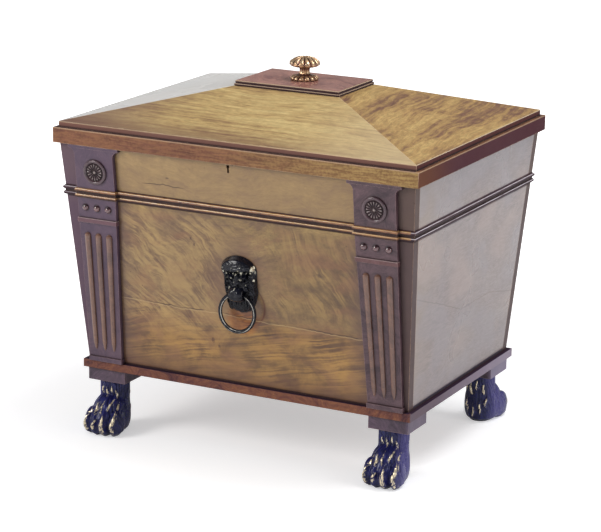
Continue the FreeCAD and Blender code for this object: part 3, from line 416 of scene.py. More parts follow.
def spun(profile, segments, axis=(0, 0, 1)):
    """A closed skin spun from (radius, height) points about an axis."""
    mesh = bmesh.new()
    lying = Vector(axis).x > 0.5
    verts = [mesh.verts.new((h, r, 0) if lying else (r, 0, h)) for r, h in profile]
    edges = [mesh.edges.new(pair) for pair in zip(verts, verts[1:])]
    if profile[0][0] > 0:
        edges.append(mesh.edges.new((verts[-1], verts[0])))
    bmesh.ops.spin(
        mesh, geom=verts + edges, axis=axis, cent=(0, 0, 0), angle=math.tau, steps=segments, use_merge=True,
    )
    bmesh.ops.remove_doubles(mesh, verts=mesh.verts, dist=1e-5)
    return mesh


def install(mesh, name, made, body, *nodes):
    """Turns a carved skin into a piece that rides a body and stands in for CAD pieces."""
    bmesh.ops.recalc_face_normals(mesh, faces=mesh.faces)
    for face in mesh.faces:
        face.smooth = True
    data = bpy.data.meshes.new(name)
    mesh.to_mesh(data)
    mesh.free()
    data.materials.append(made)
    piece = bpy.data.objects.new(name, data)
    scene.collection.objects.link(piece)
    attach(piece, body)
    if nodes:
        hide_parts(*nodes)
    return piece


def smooth_step(low, high, value):
    t = min(max((value - low) / (high - low), 0), 1)
    return t * t * (3 - 2 * t)


def bell(value, centre, width):
    return math.exp(-(((value - centre) / width) ** 2))


def wobble(*spot):
    """Smooth noise at a spot, from -1 to 1."""
    return noise.noise(Vector(spot))


def polar(vert):
    """A vertex's distance from the axis of its mesh, and its angle about it."""
    return math.hypot(vert.co.x, vert.co.y), math.atan2(vert.co.y, vert.co.x)


def layer(mesh, name):
    """A float for every vertex, which the finishes read as a mark."""
    return mesh.verts.layers.float.new(name)


def soft_most(values, power=12):
    """The largest of some positive values, with the meeting lines rounded."""
    return sum(max(v, 0) ** power for v in values) ** (1 / power)


def reach(origin, direction, height, form):
    """How far a level ray from the paw's core runs inside an egg form (centre, radii)."""
    (cx, cy, cz), (rx, ry, rz) = form
    left = 1 - ((height - cz) / rz) ** 2
    if left <= 0:
        return 0
    ox, oy = (origin[0] - cx) / rx, (origin[1] - cy) / ry
    dx, dy = direction[0] / rx, direction[1] / ry
    a, b, c = dx * dx + dy * dy, ox * dx + oy * dy, ox * ox + oy * oy - left
    root = b * b - a * c
    return max((-b + math.sqrt(root)) / a, 0) if root > 0 else 0


PAW_HEIGHT = 92
TOE_PLACES = (-25, -8.5, 8.5, 25)
PAW_FORMS = [
    ((0, 0, 80), (26.2, 25.6, 130)),
    ((0, -13, 38), (30.5, 38.5, 32)),
    ((0, -17, 22), (32.5, 43, 35)),
]
PAW_FORMS += [((x, -45 + abs(x) * 0.36, 20), (9.4, 22, 26)) for x in TOE_PLACES]
# where each gilded tuft stands, its foot, its height and its half width
TUFTS = [(-24, 1, 44, 6), (9, 0, 48, 7.5), (27, 0, 52, 7.5), (-6, 10, 26, 4)]
TUFTS += [(-9, 36, 24, 2.6), (1.5, 38, 26, 3), (14, 42, 26, 3), (25, 42, 24, 2.8), (-19, 34, 22, 2.4)]
TUFTS += [(-10, 64, 20, 2.2), (0, 62, 26, 3), (7.5, 66, 22, 2.4), (15.5, 60, 22, 2.6)]
HEEL_TUFTS = [(-14, 50, 28, 3.4), (-3, 58, 24, 3.4), (8, 46, 34, 3.6), (17, 56, 22, 3)]
HEEL_TUFTS += [(-10, 14, 32, 3.2), (3, 6, 34, 3.6), (14, 18, 30, 3.4), (-20, 26, 26, 3)]


def paw_radius(angle, z):
    """Radius of the paw about its core in millimetres, and how much gilding its tufts carry there."""
    core = (0, -14 * (1 - smooth_step(30, 90, z)))
    way = (math.cos(angle), math.sin(angle))
    radius = soft_most([reach(core, way, z, form) for form in PAW_FORMS], 16)
    x = core[0] + way[0] * radius
    front = smooth_step(0.1, 0.75, -way[1])
    fur = wobble(angle * 2.2, z * 0.03, 3.1)
    lock = abs(math.sin(angle * 11 + fur * 4 + z * 0.02))
    fine = abs(math.sin(angle * 27 + fur * 9 + z * 0.05))
    toes = 1 - smooth_step(14, 34, z)
    groove = (1 - lock) ** 2.2 * 3.2 * (0.45 + 0.55 * front) * (1 - 0.75 * toes)
    groove += (1 - fine) ** 2 * 1.3 * (1 - 0.6 * toes)
    tuft = 0
    facing, tufts = (front, TUFTS) if way[1] < 0 else (smooth_step(0.1, 0.75, way[1]), HEEL_TUFTS)
    for place, low, tall, half in tufts:
        bow = (z - low) / tall
        if facing > 0 and 0 < bow < 1:
            width = half * math.sin(math.pi * bow ** 0.6) * (0.75 + 0.25 * abs(fur + 0.5))
            centre = place + fur * 3 + 1.2 * math.sin(z * 0.22)
            side = abs(x - centre) / max(width, 0.3)
            tuft = max(tuft, (1 - min(side, 1) ** 2) * math.sin(math.pi * bow) ** 0.7 * facing)
    radius += tuft * (4.0 if z < 44 else 1.6) - groove
    inset = smooth_step(0, 7, z)
    strand = abs(math.sin(x * 1.15 + z * 0.2 + fur * 5))
    chip = wobble(x * 0.35, z * 0.16, 7.7 + way[1])
    return core, radius - 4.5 * (1 - inset), tuft * (0.42 + 1.0 * strand ** 0.8 + 0.7 * chip)


def carve_paw(name, x, y, turn, made):
    """A lion's paw with fur locks and gilded tufts between its toes."""
    rings, segments = 84, 200
    profile = [(0, 0), (0.4, 0), (0.75, 0), (0.92, 0)]
    profile += [(1, PAW_HEIGHT * n / rings) for n in range(rings + 1)]
    profile += [(0.7, PAW_HEIGHT), (0, PAW_HEIGHT)]
    mesh = spun(profile, segments)
    gilt = layer(mesh, "gilt")
    painted_shade_and_sheen = layer(mesh, "painted_shade_and_sheen")
    place = Matrix.Translation(Vector((x, y, 0)) * MM) @ Matrix.Rotation(turn, 4, "Z")
    for vert in mesh.verts:
        share, angle = polar(vert)
        core, radius, vert[gilt] = paw_radius(angle, vert.co.z)
        # marked for painted sheen: the paw's outward side turns a paler lavender
        vert[painted_shade_and_sheen] = smooth_step(0.45, 1.0, math.cos(angle + turn) * math.copysign(1, x))
        way = (math.cos(angle), math.sin(angle))
        level = [core[n] + way[n] * radius * share for n in (0, 1)]
        vert.co = place @ (Vector((*level, vert.co.z)) * MM)
    return install(mesh, f"carved_{name}", made, "cabinet", name)


MASK_X = 5
MASK_CENTRE = -205
MANE_FORMS = [
    ((-1.5, -186), (33, 25)),
    ((0, -219), (20, 42)),
    ((23, -214), (9, 33)),
    ((-21, -208), (8.5, 27)),
    ((-19.5, -232), (8, 25.5)),
    ((-11, -238), (8, 20.5)),
    ((-1, -239), (9, 20.5)),
    ((8, -238.5), (8, 20)),
    ((15, -236), (7, 20)),
]
# where each painted glint of the mane lies, its half width, half height and strength
GLINTS = [
    (27, -180, 2.8, 5.5, 1.6), (-8.5, -196.5, 1.5, 2.2, 1.2), (6.3, -198.6, 2.2, 2.8, 1.4),
    (-4.8, -203, 1, 3, 0.9), (-15, -215, 2, 3, 0.9), (28.5, -199, 1.8, 2.4, 1.0), (-27.5, -181, 1, 1.6, 0.9),
    (-7, -177.5, 3, 1, 0.8), (5, -181, 5, 0.9, 0.8), (9, -175.5, 1, 1.6, 0.8), (17, -187.5, 3.5, 1.3, 1.0),
    (-15.5, -188.5, 1.6, 2.4, 1.1), (-20, -198, 1.2, 2, 0.8), (2, -187, 3, 1, 0.8), (15, -208, 1, 4, 0.75),
]
# face and side locks as egg forms: centre, radii and height
FACE_FORMS = [
    ((0, -207), (20, 25), 13), ((0, -201), (5.5, 17), 19), ((-12, -217), (8.5, 8), 14),
    ((12, -217), (8.5, 8), 14), ((-10.5, -194.5), (8, 4.2), 17), ((9.5, -194.5), (8, 4.2), 17),
]
LOCK_FORMS = [
    ((24, -214), (9, 34), 10), ((-21, -208), (9, 28), 10), ((0, -222), (21, 41), 8.5),
    ((-19.5, -232), (8.5, 27), 8.5), ((-11, -238), (8.5, 22), 8.5), ((-1, -239), (9.5, 22), 8.5),
    ((8, -238.5), (8.5, 21.5), 8.5), ((15, -236), (7.5, 21.5), 8.5),
]
EYES = ((-10.5, -200), (9.5, -200))


def mask_outline(angle):
    """Radius of the mask's edge about its centre."""
    way = (math.cos(angle), math.sin(angle))
    origin = (0, MASK_CENTRE)
    spans = [reach(origin, way, 0, ((cx, cy, 0), (rx, ry, 1))) for (cx, cy), (rx, ry) in MANE_FORMS]
    return soft_most(spans, 14) + 0.8 * math.sin(angle * 9) * smooth_step(0.2, -0.4, way[1])


def egg(x, up, centre, radii, height):
    left = 1 - ((x - centre[0]) / radii[0]) ** 2 - ((up - centre[1]) / radii[1]) ** 2
    return height * math.sqrt(left) if left > 0 else 0


def mask_height(x, up, edge):
    """How far the mask stands out of the face: cap of mane, brow curls, face, side locks and beard."""
    brow_line = -183.5 + 0.9 * math.sin(x * 0.42) + x * 0.07
    cap = egg(x, up, (-1.5, -183), (33.5, 23), 17)
    under = smooth_step(brow_line + 1, brow_line - 2.2, up)
    curl = wobble(x * 0.32, up * 0.32, 1.7)
    curls = (0.5 + 0.5 * math.cos(x * 0.85 + curl * 2)) * bell(up, brow_line - 4.5, 3.6)
    face = soft_most([egg(x, up, *form) for form in FACE_FORMS], 10)
    for eye in EYES:
        face -= egg(x, up, eye, (5.6, 3.6), 4.5)
        face += egg(x, up, eye, (3.2, 2.2), 3.6)
    face += curls * 4.5
    strand = abs(math.sin(x * 0.62 + curl * 1.6 + (up + 230) * 0.012 * x))
    locks = soft_most([egg(x, up, *form) for form in LOCK_FORMS], 8)
    locks = locks * (0.7 + 0.3 * strand)
    combed = abs(math.sin(x * 0.62 + 0.4)) ** 0.7
    locks *= 1 - 0.75 * (1 - combed) * smooth_step(-226, -234, up)
    low = soft_most([face, locks], 8)
    chased = wobble(x * 0.3, up * 0.3, 5.1) * 1.5
    chased += wobble(x * 0.7, up * 0.7, 9.3)
    low += 1.3 * chased * smooth_step(-236, -226, up)
    height = cap * (1 - under) + low * under
    wave = abs(math.sin(up * 0.62 + math.cos(x * 0.13) * 3.2 + curl * 2.4))
    height -= 1.2 * (1 - wave) ** 2 * (1 - under) * smooth_step(-166, -174, up)
    ring_room = smooth_step(-213, -219, up)
    height = min(height, 9.2 + (1 - ring_room) * 20)
    # painted glints along the brow curls and at the listed spots
    glint = 0.85 * curls * under
    for spot_x, spot_up, wide, tall, bright in GLINTS:
        glint = max(glint, bright * bell(x, spot_x, wide) * bell(up, spot_up, tall))
    return max(height * smooth_step(1.02, 0.9, edge), 0) + 1.2, glint


def carve_mask(made):
    """The lion mask: a relief whose muzzle is bored for the ring."""
    rings, segments = 74, 220
    profile = [(0, -1), (0.5, -1), (1, -1)] + [(1 - n / rings, 1) for n in range(rings + 1)]
    mesh = spun(profile, segments)
    gilt = layer(mesh, "gilt")
    for vert in mesh.verts:
        share, angle = polar(vert)
        radius = mask_outline(angle) * share
        x, up = radius * math.cos(angle), MASK_CENTRE + radius * math.sin(angle)
        # the gilt layer carries the mask's painted glints
        out, vert[gilt] = mask_height(x, up, share) if vert.co.z > 0 else (0, 0)
        vert.co = on_face(MASK_X + x, up, out)
    return install(mesh, "carved_lion_mask", made, "cabinet", "lion_mask")


MUZZLE_UP = -224.5
MUZZLE_OUT = 13.5
MUZZLE_HALF = 13.5
RING_GAP = 4.1


def carve_muzzle(made):
    """Whisker pads, nose and lip about the ring, as a bead bored from side to side."""
    steps, segments = 30, 90
    outer, inner = [], []
    for n in range(steps + 1):
        x = MUZZLE_HALF * math.cos(math.pi * n / steps)
        outer.append((8.4 + 5.0 * math.sqrt(max(1 - (x / MUZZLE_HALF) ** 2, 0)), x))
        inner.append((RING_GAP + 0.02 * x * x, -x))
    mesh = spun(outer + inner[1:-1], segments, (1, 0, 0))
    gilt = layer(mesh, "gilt")
    for vert in mesh.verts:
        x, radius = vert.co.x, math.hypot(vert.co.y, vert.co.z)
        angle = math.atan2(vert.co.z, vert.co.y)
        skin = smooth_step(RING_GAP + 0.02 * x * x + 0.5, 8.6, radius)
        bump = 2.6 * bell(x, 0, 4.5) * bell(angle, 0.95, 0.35)
        for side in (-1, 1):
            bump += 1.6 * bell(x, side * 7.5, 4.5) * bell(angle, 0.35, 0.45)
            bump -= 1.6 * bell(x, side * 2.6, 1.3) * bell(angle, 0.98, 0.2)
        bump -= 2.2 * bell(x, 0, 1.2) * bell(angle, 0.3, 0.5)
        bump -= 2.0 * bell(angle, 0.02 * abs(x) - 0.35, 0.1)
        bump -= 0.5 * abs(math.sin(x * 1.8)) * bell(angle, 0.3, 0.4)
        radius += bump * skin
        # painted glints on the pads and nose, in the gilt layer
        patch = wobble(x * 0.5, angle * 5, 3.3)
        vert[gilt] = smooth_step(0.4, 2.2, bump * skin) * (0.75 + patch) * smooth_step(6, -2, x)
        # angle 0 looks straight out of the face and turns upwards
        up, out = radius * math.sin(angle), radius * math.cos(angle)
        vert.co = on_face(MASK_X + x, MUZZLE_UP + up, MUZZLE_OUT + out)
    return install(mesh, "carved_muzzle", made, "cabinet")


KNOB_FLUTES = 14
KNOB_PROFILE = [
    (0, 0), (20, 0), (23, 0.6), (24.4, 2.2), (24.5, 3.8), (23.4, 5.6), (20.5, 7.0), (17.0, 7.6), (13.5, 8.2),
    (11.4, 9.6), (9.8, 11.2), (9.0, 13.2), (8.8, 15.4), (8.9, 18.4), (9.6, 20.8), (11.6, 22.2), (15.0, 22.7),
    (18.5, 23.0), (21.6, 23.6), (24.4, 24.8), (26.4, 26.6), (27.0, 28.6), (26.4, 30.8), (24.4, 33.2),
    (21.2, 35.6), (17.2, 37.8), (12.6, 39.4), (8.0, 40.2), (4.0, 40.45), (0, 40.5),
]


def carve_knob(made):
    """A gilt mushroom knob: fluted cap, beaded underside, short neck and gadrooned foot."""
    points = []
    for (r0, z0), (r1, z1) in zip(KNOB_PROFILE, KNOB_PROFILE[1:]):
        points += [(r0 + (r1 - r0) * t / 3, z0 + (z1 - z0) * t / 3) for t in range(3)]
    mesh = spun(points + [KNOB_PROFILE[-1]], KNOB_FLUTES * 16)
    painted_shade_and_sheen = layer(mesh, "painted_shade_and_sheen")
    low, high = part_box("knob")
    centre = Vector(((low[0] + high[0]) / 2, (low[1] + high[1]) / 2, low[2]))
    for vert in mesh.verts:
        (radius, angle), height = polar(vert), vert.co.z
        lobe = abs(math.cos(angle * KNOB_FLUTES / 2))
        groove = (1 - lobe) ** 1.6
        cap = smooth_step(28.6, 30, height) * smooth_step(2.5, 8, radius)
        beads = bell(height, 25.4, 2.2) * smooth_step(15, 19, radius)
        rim = bell(height, 28.9, 0.9) * smooth_step(22, 25, radius)
        foot = smooth_step(0.2, 2, height) * smooth_step(9.5, 7, height) * smooth_step(12, 17, radius)
        neck = bell(height, 15, 5)
        radius -= groove * (2.4 * cap + 3.4 * beads + 2.6 * foot + 0.9 * neck) + 0.9 * rim
        height -= groove * (2.6 * cap * smooth_step(29, 34, height) + 1.6 * foot * smooth_step(4, 7, height))
        # marked for painted shade: the flutes, the cap's underside, its rim groove and the well above the
        # foot
        under = smooth_step(24.5, 22.5, height) * smooth_step(14, 20, height)
        well = smooth_step(7, 8.5, height) * smooth_step(12, 9.5, height)
        cut = groove * (cap + beads + foot + 0.5 * neck) * 1.3
        vert[painted_shade_and_sheen] = min(cut + 0.75 * under + 0.6 * rim + 0.8 * well, 1)
        vert.co = centre + Vector((math.cos(angle) * radius, math.sin(angle) * radius, height)) * MM
    return install(mesh, "carved_knob", made, "lid", "knob")


PATERA_PETALS = 16
PATERA_RADIUS = 22
PATERA_DROP = 43.4
PATERA_ON = 8


def carve_patera(name, x, made):
    """A round boss with petals in a dished well and a raised rim."""
    profile = [(0, 0), (PATERA_RADIUS, 0), (PATERA_RADIUS, 2.2), (21.6, 3.1), (20.6, 3.7), (19.4, 3.9)]
    profile += [(18.2, 3.7), (17.2, 3.1), (16.6, 2.2), (16.2, 1.2)]
    profile += [(15.6 * (1 - n / 26), 1) for n in range(27)]
    mesh = spun(profile, PATERA_PETALS * 12)
    painted_shade_and_sheen = layer(mesh, "painted_shade_and_sheen")
    rubbed_and_lit = layer(mesh, "rubbed_and_lit")
    for vert in mesh.verts:
        (radius, angle), height = polar(vert), vert.co.z
        if 0.9 < height < 1.15 and radius < 16:
            petal = abs(math.cos(angle * PATERA_PETALS / 2)) ** 0.7
            along = smooth_step(15.6, 13.6, radius) * smooth_step(3.8, 5.2, radius)
            height = 0.7 + 2.6 * petal * along * (0.55 + 0.45 * smooth_step(4, 12, radius))
            height += 2.8 * math.sqrt(max(1 - (radius / 3.8) ** 2, 0))
            # marks for painted shade in the recesses and painted highlights on the crests
            vert[painted_shade_and_sheen] = smooth_step(3.0, 2.0, height)
            vert[rubbed_and_lit] = smooth_step(3.0, 3.5, height)
        spot = (x + math.cos(angle) * radius, -PATERA_DROP + math.sin(angle) * radius, PATERA_ON + height)
        vert.co = on_face(*spot)
    return install(mesh, f"carved_{name}", made, "cabinet", name)


place_camera()
light_studio()
white_sweep()

# ---- finishes ---------------------------------------------------------------------------------


def dress(made, *nodes):
    """Gives CAD pieces their finish."""
    for node in nodes:
        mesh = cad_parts[node].data
        mesh.materials.clear()
        mesh.materials.append(made)


def line_along(x, z, points, width):
    """A thin line drawn across a face through (x, z) points, as a mask."""
    height = points[0][1]
    for (x0, z0), (x1, z1) in zip(points, points[1:]):
        run = add(tree_of(x), "ShaderNodeMapRange", {0: x, 1: x0, 2: x1, 3: 0.0, 4: z1 - z0}).outputs[0]
        height = plus(height, run)
    wander = times(minus(grain_noise(x, 40.0, 3.0), 0.5), 0.006)
    off = maths("ABSOLUTE", minus(plus(z, wander), height))
    inside = times(ease(x, points[0][0] - 0.01, points[0][0] + 0.01),
                   ease(x, points[-1][0] + 0.01, points[-1][0] - 0.01))
    return times(ease(off, width, width * 0.3), inside)


FRONT_JOINT = [
    (-0.229, 0.2569), (-0.175, 0.2553), (-0.116, 0.2531), (-0.042, 0.2554),
    (0.047, 0.2506), (0.1, 0.2509), (0.18, 0.2483), (0.232, 0.2477),
]
NICKS = [
    (-0.0545, 0.2028, 0.0035), (-0.0433, 0.1934, 0.003), (-0.0867, 0.3802, 0.0025), (-0.0806, 0.3716, 0.0022),
]
FRIEZE_CRACK = [(-0.169, 0.4683), (-0.13, 0.4695), (-0.097, 0.4675)]
SIDE_CRACK = [(-0.218, 0.326), (-0.11, 0.292), (-0.024, 0.262), (0.1, 0.262), (0.224, 0.236)]


def flame(tree, lean, across, along, sway, light, dark):
    """Feathered crotch figure: short wavy strokes leaning from the level by an angle."""
    drift = scaled(drifting(place_on_piece(tree), 9.0), sway)
    place = vectors("ADD", mapped(tree, (0, lean, 0)), drift)
    place = vectors("MULTIPLY", place, (along, along, across))
    stroke = minus(grain_noise(place, 1.0, 6.0, 0.66, 0.9), 0.5)
    blotch = minus(speckle(tree, (17, 17, 24), 5.0, 0.62, 0.4), 0.5)
    patch = ease(grain_noise(place_on_piece(tree), 13.0, 2.0), 0.36, 0.62, 0.35, 1.0)
    tone = plus(times(stroke, patch), times(blotch, 0.62))
    return blend(ease(tone, -0.15, 0.15), dark, light)


def crotch_figure(tree, colour, x, z):
    """The case front's veneer: a feather at the left, a steeper one at the right, long flames below; painted
    shade at both ends by the pilasters, and darker towards the bottom.
    """
    under = ease(z, 0.43, 0.41)
    striped = flame(tree, 11, 125.0, 5.0, 0.02, (0.47, 0.245, 0.06), (0.1, 0.04, 0.018))
    colour = stained(colour, [ease(z, 0.268, 0.236), 0.8], striped)
    feather = flame(tree, -42, 95.0, 18.0, 0.075, (0.46, 0.3, 0.12), (0.12, 0.058, 0.042))
    left = [ease(x, 0.05, -0.07), under, ease(z, 0.185, 0.25), 0.72]
    colour = stained(colour, left, feather)
    steep = flame(tree, -62, 85.0, 18.0, 0.06, (0.36, 0.22, 0.078), (0.085, 0.042, 0.026))
    right = [ease(x, 0.03, 0.1), under, ease(z, 0.235, 0.275), 0.75]
    colour = stained(colour, right, steep)
    foxed = speckle(tree, (14, 14, 26), 4.0, 0.6, 0.5)
    colour = stained(colour, [ease(foxed, 0.46, 0.68, 0.0, 0.5), under], (0.27, 0.125, 0.062))
    colour = stained(colour, [ease(z, 0.44, 0.455), 0.5], (0.38, 0.24, 0.115))
    # painted shade beside the pilasters at both ends
    across = maths("ABSOLUTE", x)
    colour = stained(colour, [ease(across, 0.19, 0.236), under, 0.62], (0.1, 0.048, 0.05))
    return stained(colour, [ease(z, 0.17, 0.131), 0.7], (0.11, 0.042, 0.025))


def ring_marks(tree, colour, x, z, fore):
    """The red glow that the mask and its ring left on the front, the ring's painted shadow curving down at
    its right, and darker wood round the mask.
    """
    glow = about(x, z, (0.004, 0.248), (33.0, 36.0))
    ember = flame(tree, 8, 170.0, 40.0, 0.03, (0.5, 0.18, 0.022), (0.16, 0.035, 0.006))
    colour = stained(colour, [ease(glow, 1.4, 0.3, 0.0, 0.85), fore], ember)
    # painted shadow of the ring, a thin curve at its right
    ring_shadow = band(maths("SQRT", about(x, z, (0.008, 0.275))), 0.0388, 0.0415, 0.003)
    colour = stained(colour, [ring_shadow, ease(x, 0.032, 0.039, 0.0, 0.72), fore], (0.1, 0.018, 0.016))
    # darker round the mask
    halo = about(x, z, (0.008, 0.318), (13.0, 10.5))
    return stained(colour, [ease(halo, 1.1, 0.1, 0.0, 0.5), fore], (0.15, 0.075, 0.06))


def old_damage(tree, colour, x, z, fore):
    """The open joint with its lit lower edge, the crack in the frieze and four nicks."""
    broken = ease(speckle(tree, (24, 24, 24), 2.0), 0.42, 0.54, 0.15, 1.0)
    crack = times(line_along(x, z, FRONT_JOINT, 0.0017), broken)
    crack = most(crack, line_along(x, z, FRIEZE_CRACK, 0.0013))
    colour = stained(colour, [crack, fore, 0.75], (0.05, 0.02, 0.012))
    lit = line_along(x, plus(z, 0.0021), FRONT_JOINT, 0.0014)
    colour = stained(colour, [lit, fore, 0.35], (0.6, 0.42, 0.2))
    ragged = ease(grain_noise(place_on_piece(tree), 420.0, 2.0), 0.35, 0.65, -0.4, 0.6)
    for nick_x, nick_z, size in NICKS:
        off = plus(about(x, z, (nick_x, nick_z), (1 / size, 0.6 / size)), ragged)
        colour = stained(colour, [ease(off, 0.9, 0.3, 0.0, 0.65), fore], (0.07, 0.025, 0.018))
    return colour


def front_patina(tree, colour):
    """Figure, stains, damage and painted shade by the moulding and foot of the front board; ring marks and
    damage stay off the back board.
    """
    x, y, z = spots(tree)
    fore = ease(y, 0.05, -0.05)
    colour = crotch_figure(tree, colour, x, z)
    corner = times(ease(maths("ABSOLUTE", x), 0.29, 0.296), 0.9)
    strip = blend(ease(x, -0.1, 0.1), (0.1, 0.055, 0.095), (0.085, 0.05, 0.052))
    colour = blend(corner, colour, strip)
    colour = ring_marks(tree, colour, x, z, fore)
    # painted shade in the quirks above and below the moulding and along the foot of the board
    quirk_shade = most(band(z, 0.4462, 0.4486, 0.001), band(z, 0.4275, 0.4306, 0.001))
    quirk_shade = most(quirk_shade, ease(z, 0.1335, 0.132))
    colour = stained(colour, [quirk_shade, 0.85], (0.035, 0.012, 0.018))
    colour = old_damage(tree, colour, x, z, fore)
    knocks = speckle(tree, (60, 60, 90), 3.0, 0.7)
    colour = blend(ease(knocks, 0.3, 0.25, 0.0, 0.6), colour, (0.06, 0.03, 0.02))
    return colour, most(quirk_shade, times(corner, 0.7))


def side_patina(tree, colour):
    """A long joint and bleached clouds on the case's sides, with painted shade by the moulding, under the lid
    and at the foot.
    """
    _, y, z = spots(tree)
    colour = stained(colour, [ease(y, -0.1, -0.22), 0.5], (0.3, 0.215, 0.155))
    # painted shade in the quirks above and below the moulding
    quirk_shade = most(band(z, 0.4462, 0.4488, 0.001), band(z, 0.427, 0.4306, 0.001))
    colour = stained(colour, [quirk_shade, 0.7], (0.05, 0.024, 0.05))
    # painted shadow under the lid
    lid_shadow = ease(z, 0.508, 0.521)
    colour = stained(colour, [lid_shadow, 0.35], (0.12, 0.09, 0.085))
    crack = line_along(y, z, SIDE_CRACK, 0.0014)
    colour = stained(colour, [crack, 0.45], (0.08, 0.04, 0.03))
    knocks = speckle(tree, (60, 46, 60), 3.0, 0.7)
    colour = blend(ease(knocks, 0.29, 0.24, 0.0, 0.45), colour, (0.08, 0.045, 0.05))
    cloud = speckle(tree, (9, 6, 9), 2.0, 0.5)
    colour = blend(ease(cloud, 0.5, 0.62, 0.0, 0.4), colour, (0.4, 0.28, 0.24))
    colour = blend(ease(cloud, 0.5, 0.38, 0.0, 0.4), colour, (0.25, 0.215, 0.24))
    # painted shade where the side meets the base
    seam_shade = ease(z, 0.1362, 0.1346)
    colour = stained(colour, [seam_shade, 0.9], (0.02, 0.014, 0.04))
    return colour, most(quirk_shade, seam_shade)


def slope_patina(tree, colour):
    """The front slope: reddish at its left end, bleached towards its right hip; its lip darker, with painted
    shadow at its foot and a painted highlight along its arris.
    """
    x, _, z = spots(tree)
    colour = stained(colour, [ease(x, -0.1, -0.32), 0.78], (0.19, 0.105, 0.09))
    handled = times(ease(z, 0.574, 0.558), ease(x, 0.3, -0.1, 0.15, 0.6))
    colour = blend(handled, colour, (0.17, 0.085, 0.065))
    colour = stained(colour, [ease(x, 0.04, 0.31), 0.5], (0.66, 0.52, 0.33))
    lip = ease(z, 0.5576, 0.5568)
    # a painted highlight along the arris above the lip
    edge = times(band(z, 0.5568, 0.5579, 0.0008), ease(x, -0.1, 0.2, 0.4, 0.8))
    # painted shadow at the foot of the lip
    under = blend(ease(z, 0.5515, 0.5495), (0.2, 0.088, 0.066), (0.08, 0.028, 0.028))
    return blend(edge, blend(lip, colour, under), (0.75, 0.52, 0.3)), lip


def side_slope_patina(tree, colour):
    """The dark red lip under the right slope, near black at its foot as painted shadow, and the lit arris
    above it as a painted highlight.
    """
    _, _, z = spots(tree)
    lip = ease(z, 0.558, 0.5572)
    # painted shadow: near black at the foot of the lip
    floor = ease(z, 0.5512, 0.5496)
    colour = blend(lip, colour, blend(floor, (0.09, 0.02, 0.018), (0.01, 0.004, 0.008)))
    edge = times(band(z, 0.5572, 0.5583, 0.0008), 0.8)
    return blend(edge, colour, (0.85, 0.68, 0.48)), lip


def bloom_patina(tree, colour):
    """The dark lip under the left slope."""
    lip = ease(spots(tree)[2], 0.5588, 0.558)
    return blend(lip, colour, (0.1, 0.045, 0.055)), lip


def rail_patina(tree, colour):
    """The lid's rail: red at the left, golden at the right, dark red along its right side and its ledge."""
    x, y, z = spots(tree)
    gold = times(ease(x, -0.12, 0.34, 0.0, 0.75), ease(y, -0.262, -0.266))
    fine = grain_noise(mapped(tree, (0, 32, 0)), 260.0, 3.0, 0.6)
    coarse = grain_noise(mapped(tree, (0, 32, 0), (30, 30, 300)), 1.0, 3.0, 0.6)
    slant = plus(times(fine, 0.35), times(coarse, 0.65))
    colour = stained(colour, [ease(slant, 0.42, 0.58), 0.4], (0.36, 0.17, 0.07))
    honey = blend(ease(slant, 0.36, 0.64), (0.22, 0.12, 0.04), (0.5, 0.34, 0.12))
    colour = blend(gold, colour, honey)
    side = ease(x, 0.3385, 0.3395)
    dim = blend(ease(y, -0.27, -0.1), (0.14, 0.05, 0.026), (0.075, 0.02, 0.03))
    colour = stained(colour, [side, 0.97], dim)
    ledge = times(ease(z, 0.5478, 0.5483), ease(x, 0.3345, 0.3325))
    colour = blend(ledge, colour, (0.085, 0.036, 0.034))
    # a painted highlight along the top arris
    brow = most(ease(y, -0.2664, -0.2676), ease(x, 0.3384, 0.3396))
    arris = [band(z, 0.5466, 0.549, 0.0006), brow, 0.6]
    return stained(colour, arris, (0.5, 0.33, 0.2)), most(side, ledge)


def cap_patina(tree, colour):
    """Painted shadow, near black, on the cap's edge and on its bearer, with thin painted highlights along the
    arrises.
    """
    x, y, z = spots(tree)
    rim = most(ease(maths("ABSOLUTE", x), 0.0962, 0.0972),
               ease(maths("ABSOLUTE", y), 0.0644, 0.0654))
    edge = times(rim, ease(z, 0.6206, 0.6203))
    # painted shadow under the cap's edge and on the bearer
    dark = most(times(edge, 0.85), ease(z, 0.6116, 0.6108, 0.0, 0.97))
    colour = blend(dark, colour, (0.022, 0.01, 0.022))
    # thin painted highlights along the arrises
    lines = most(band(z, 0.6192, 0.6203, 0.0006), band(z, 0.6142, 0.615, 0.0006))
    lines = most(lines, band(z, 0.6096, 0.6102, 0.0006))
    colour = stained(colour, [times(lines, rim), 0.75], (0.7, 0.52, 0.34))
    return colour, dark


def base_patina(tree, colour):
    """Painted shade and sheen on the right side of the base, dark violet at the front turning pale lilac at
    the back; painted shade where the case stands on it.
    """
    x, y, z = spots(tree)
    # painted shade and sheen on the right side
    side = ease(x, 0.3125, 0.3135)
    violet = blend(ease(y, -0.2, 0.2), (0.12, 0.085, 0.115), (0.3, 0.25, 0.33))
    colour = stained(colour, [side, 0.9], violet)
    # painted shade along the line where the case stands on the base
    joint = most(ease(y, -0.2125, -0.2105), ease(x, 0.3115, 0.3095))
    top = times(ease(z, 0.1293, 0.1298), times(joint, 0.92))
    return blend(top, colour, (0.02, 0.008, 0.03)), top


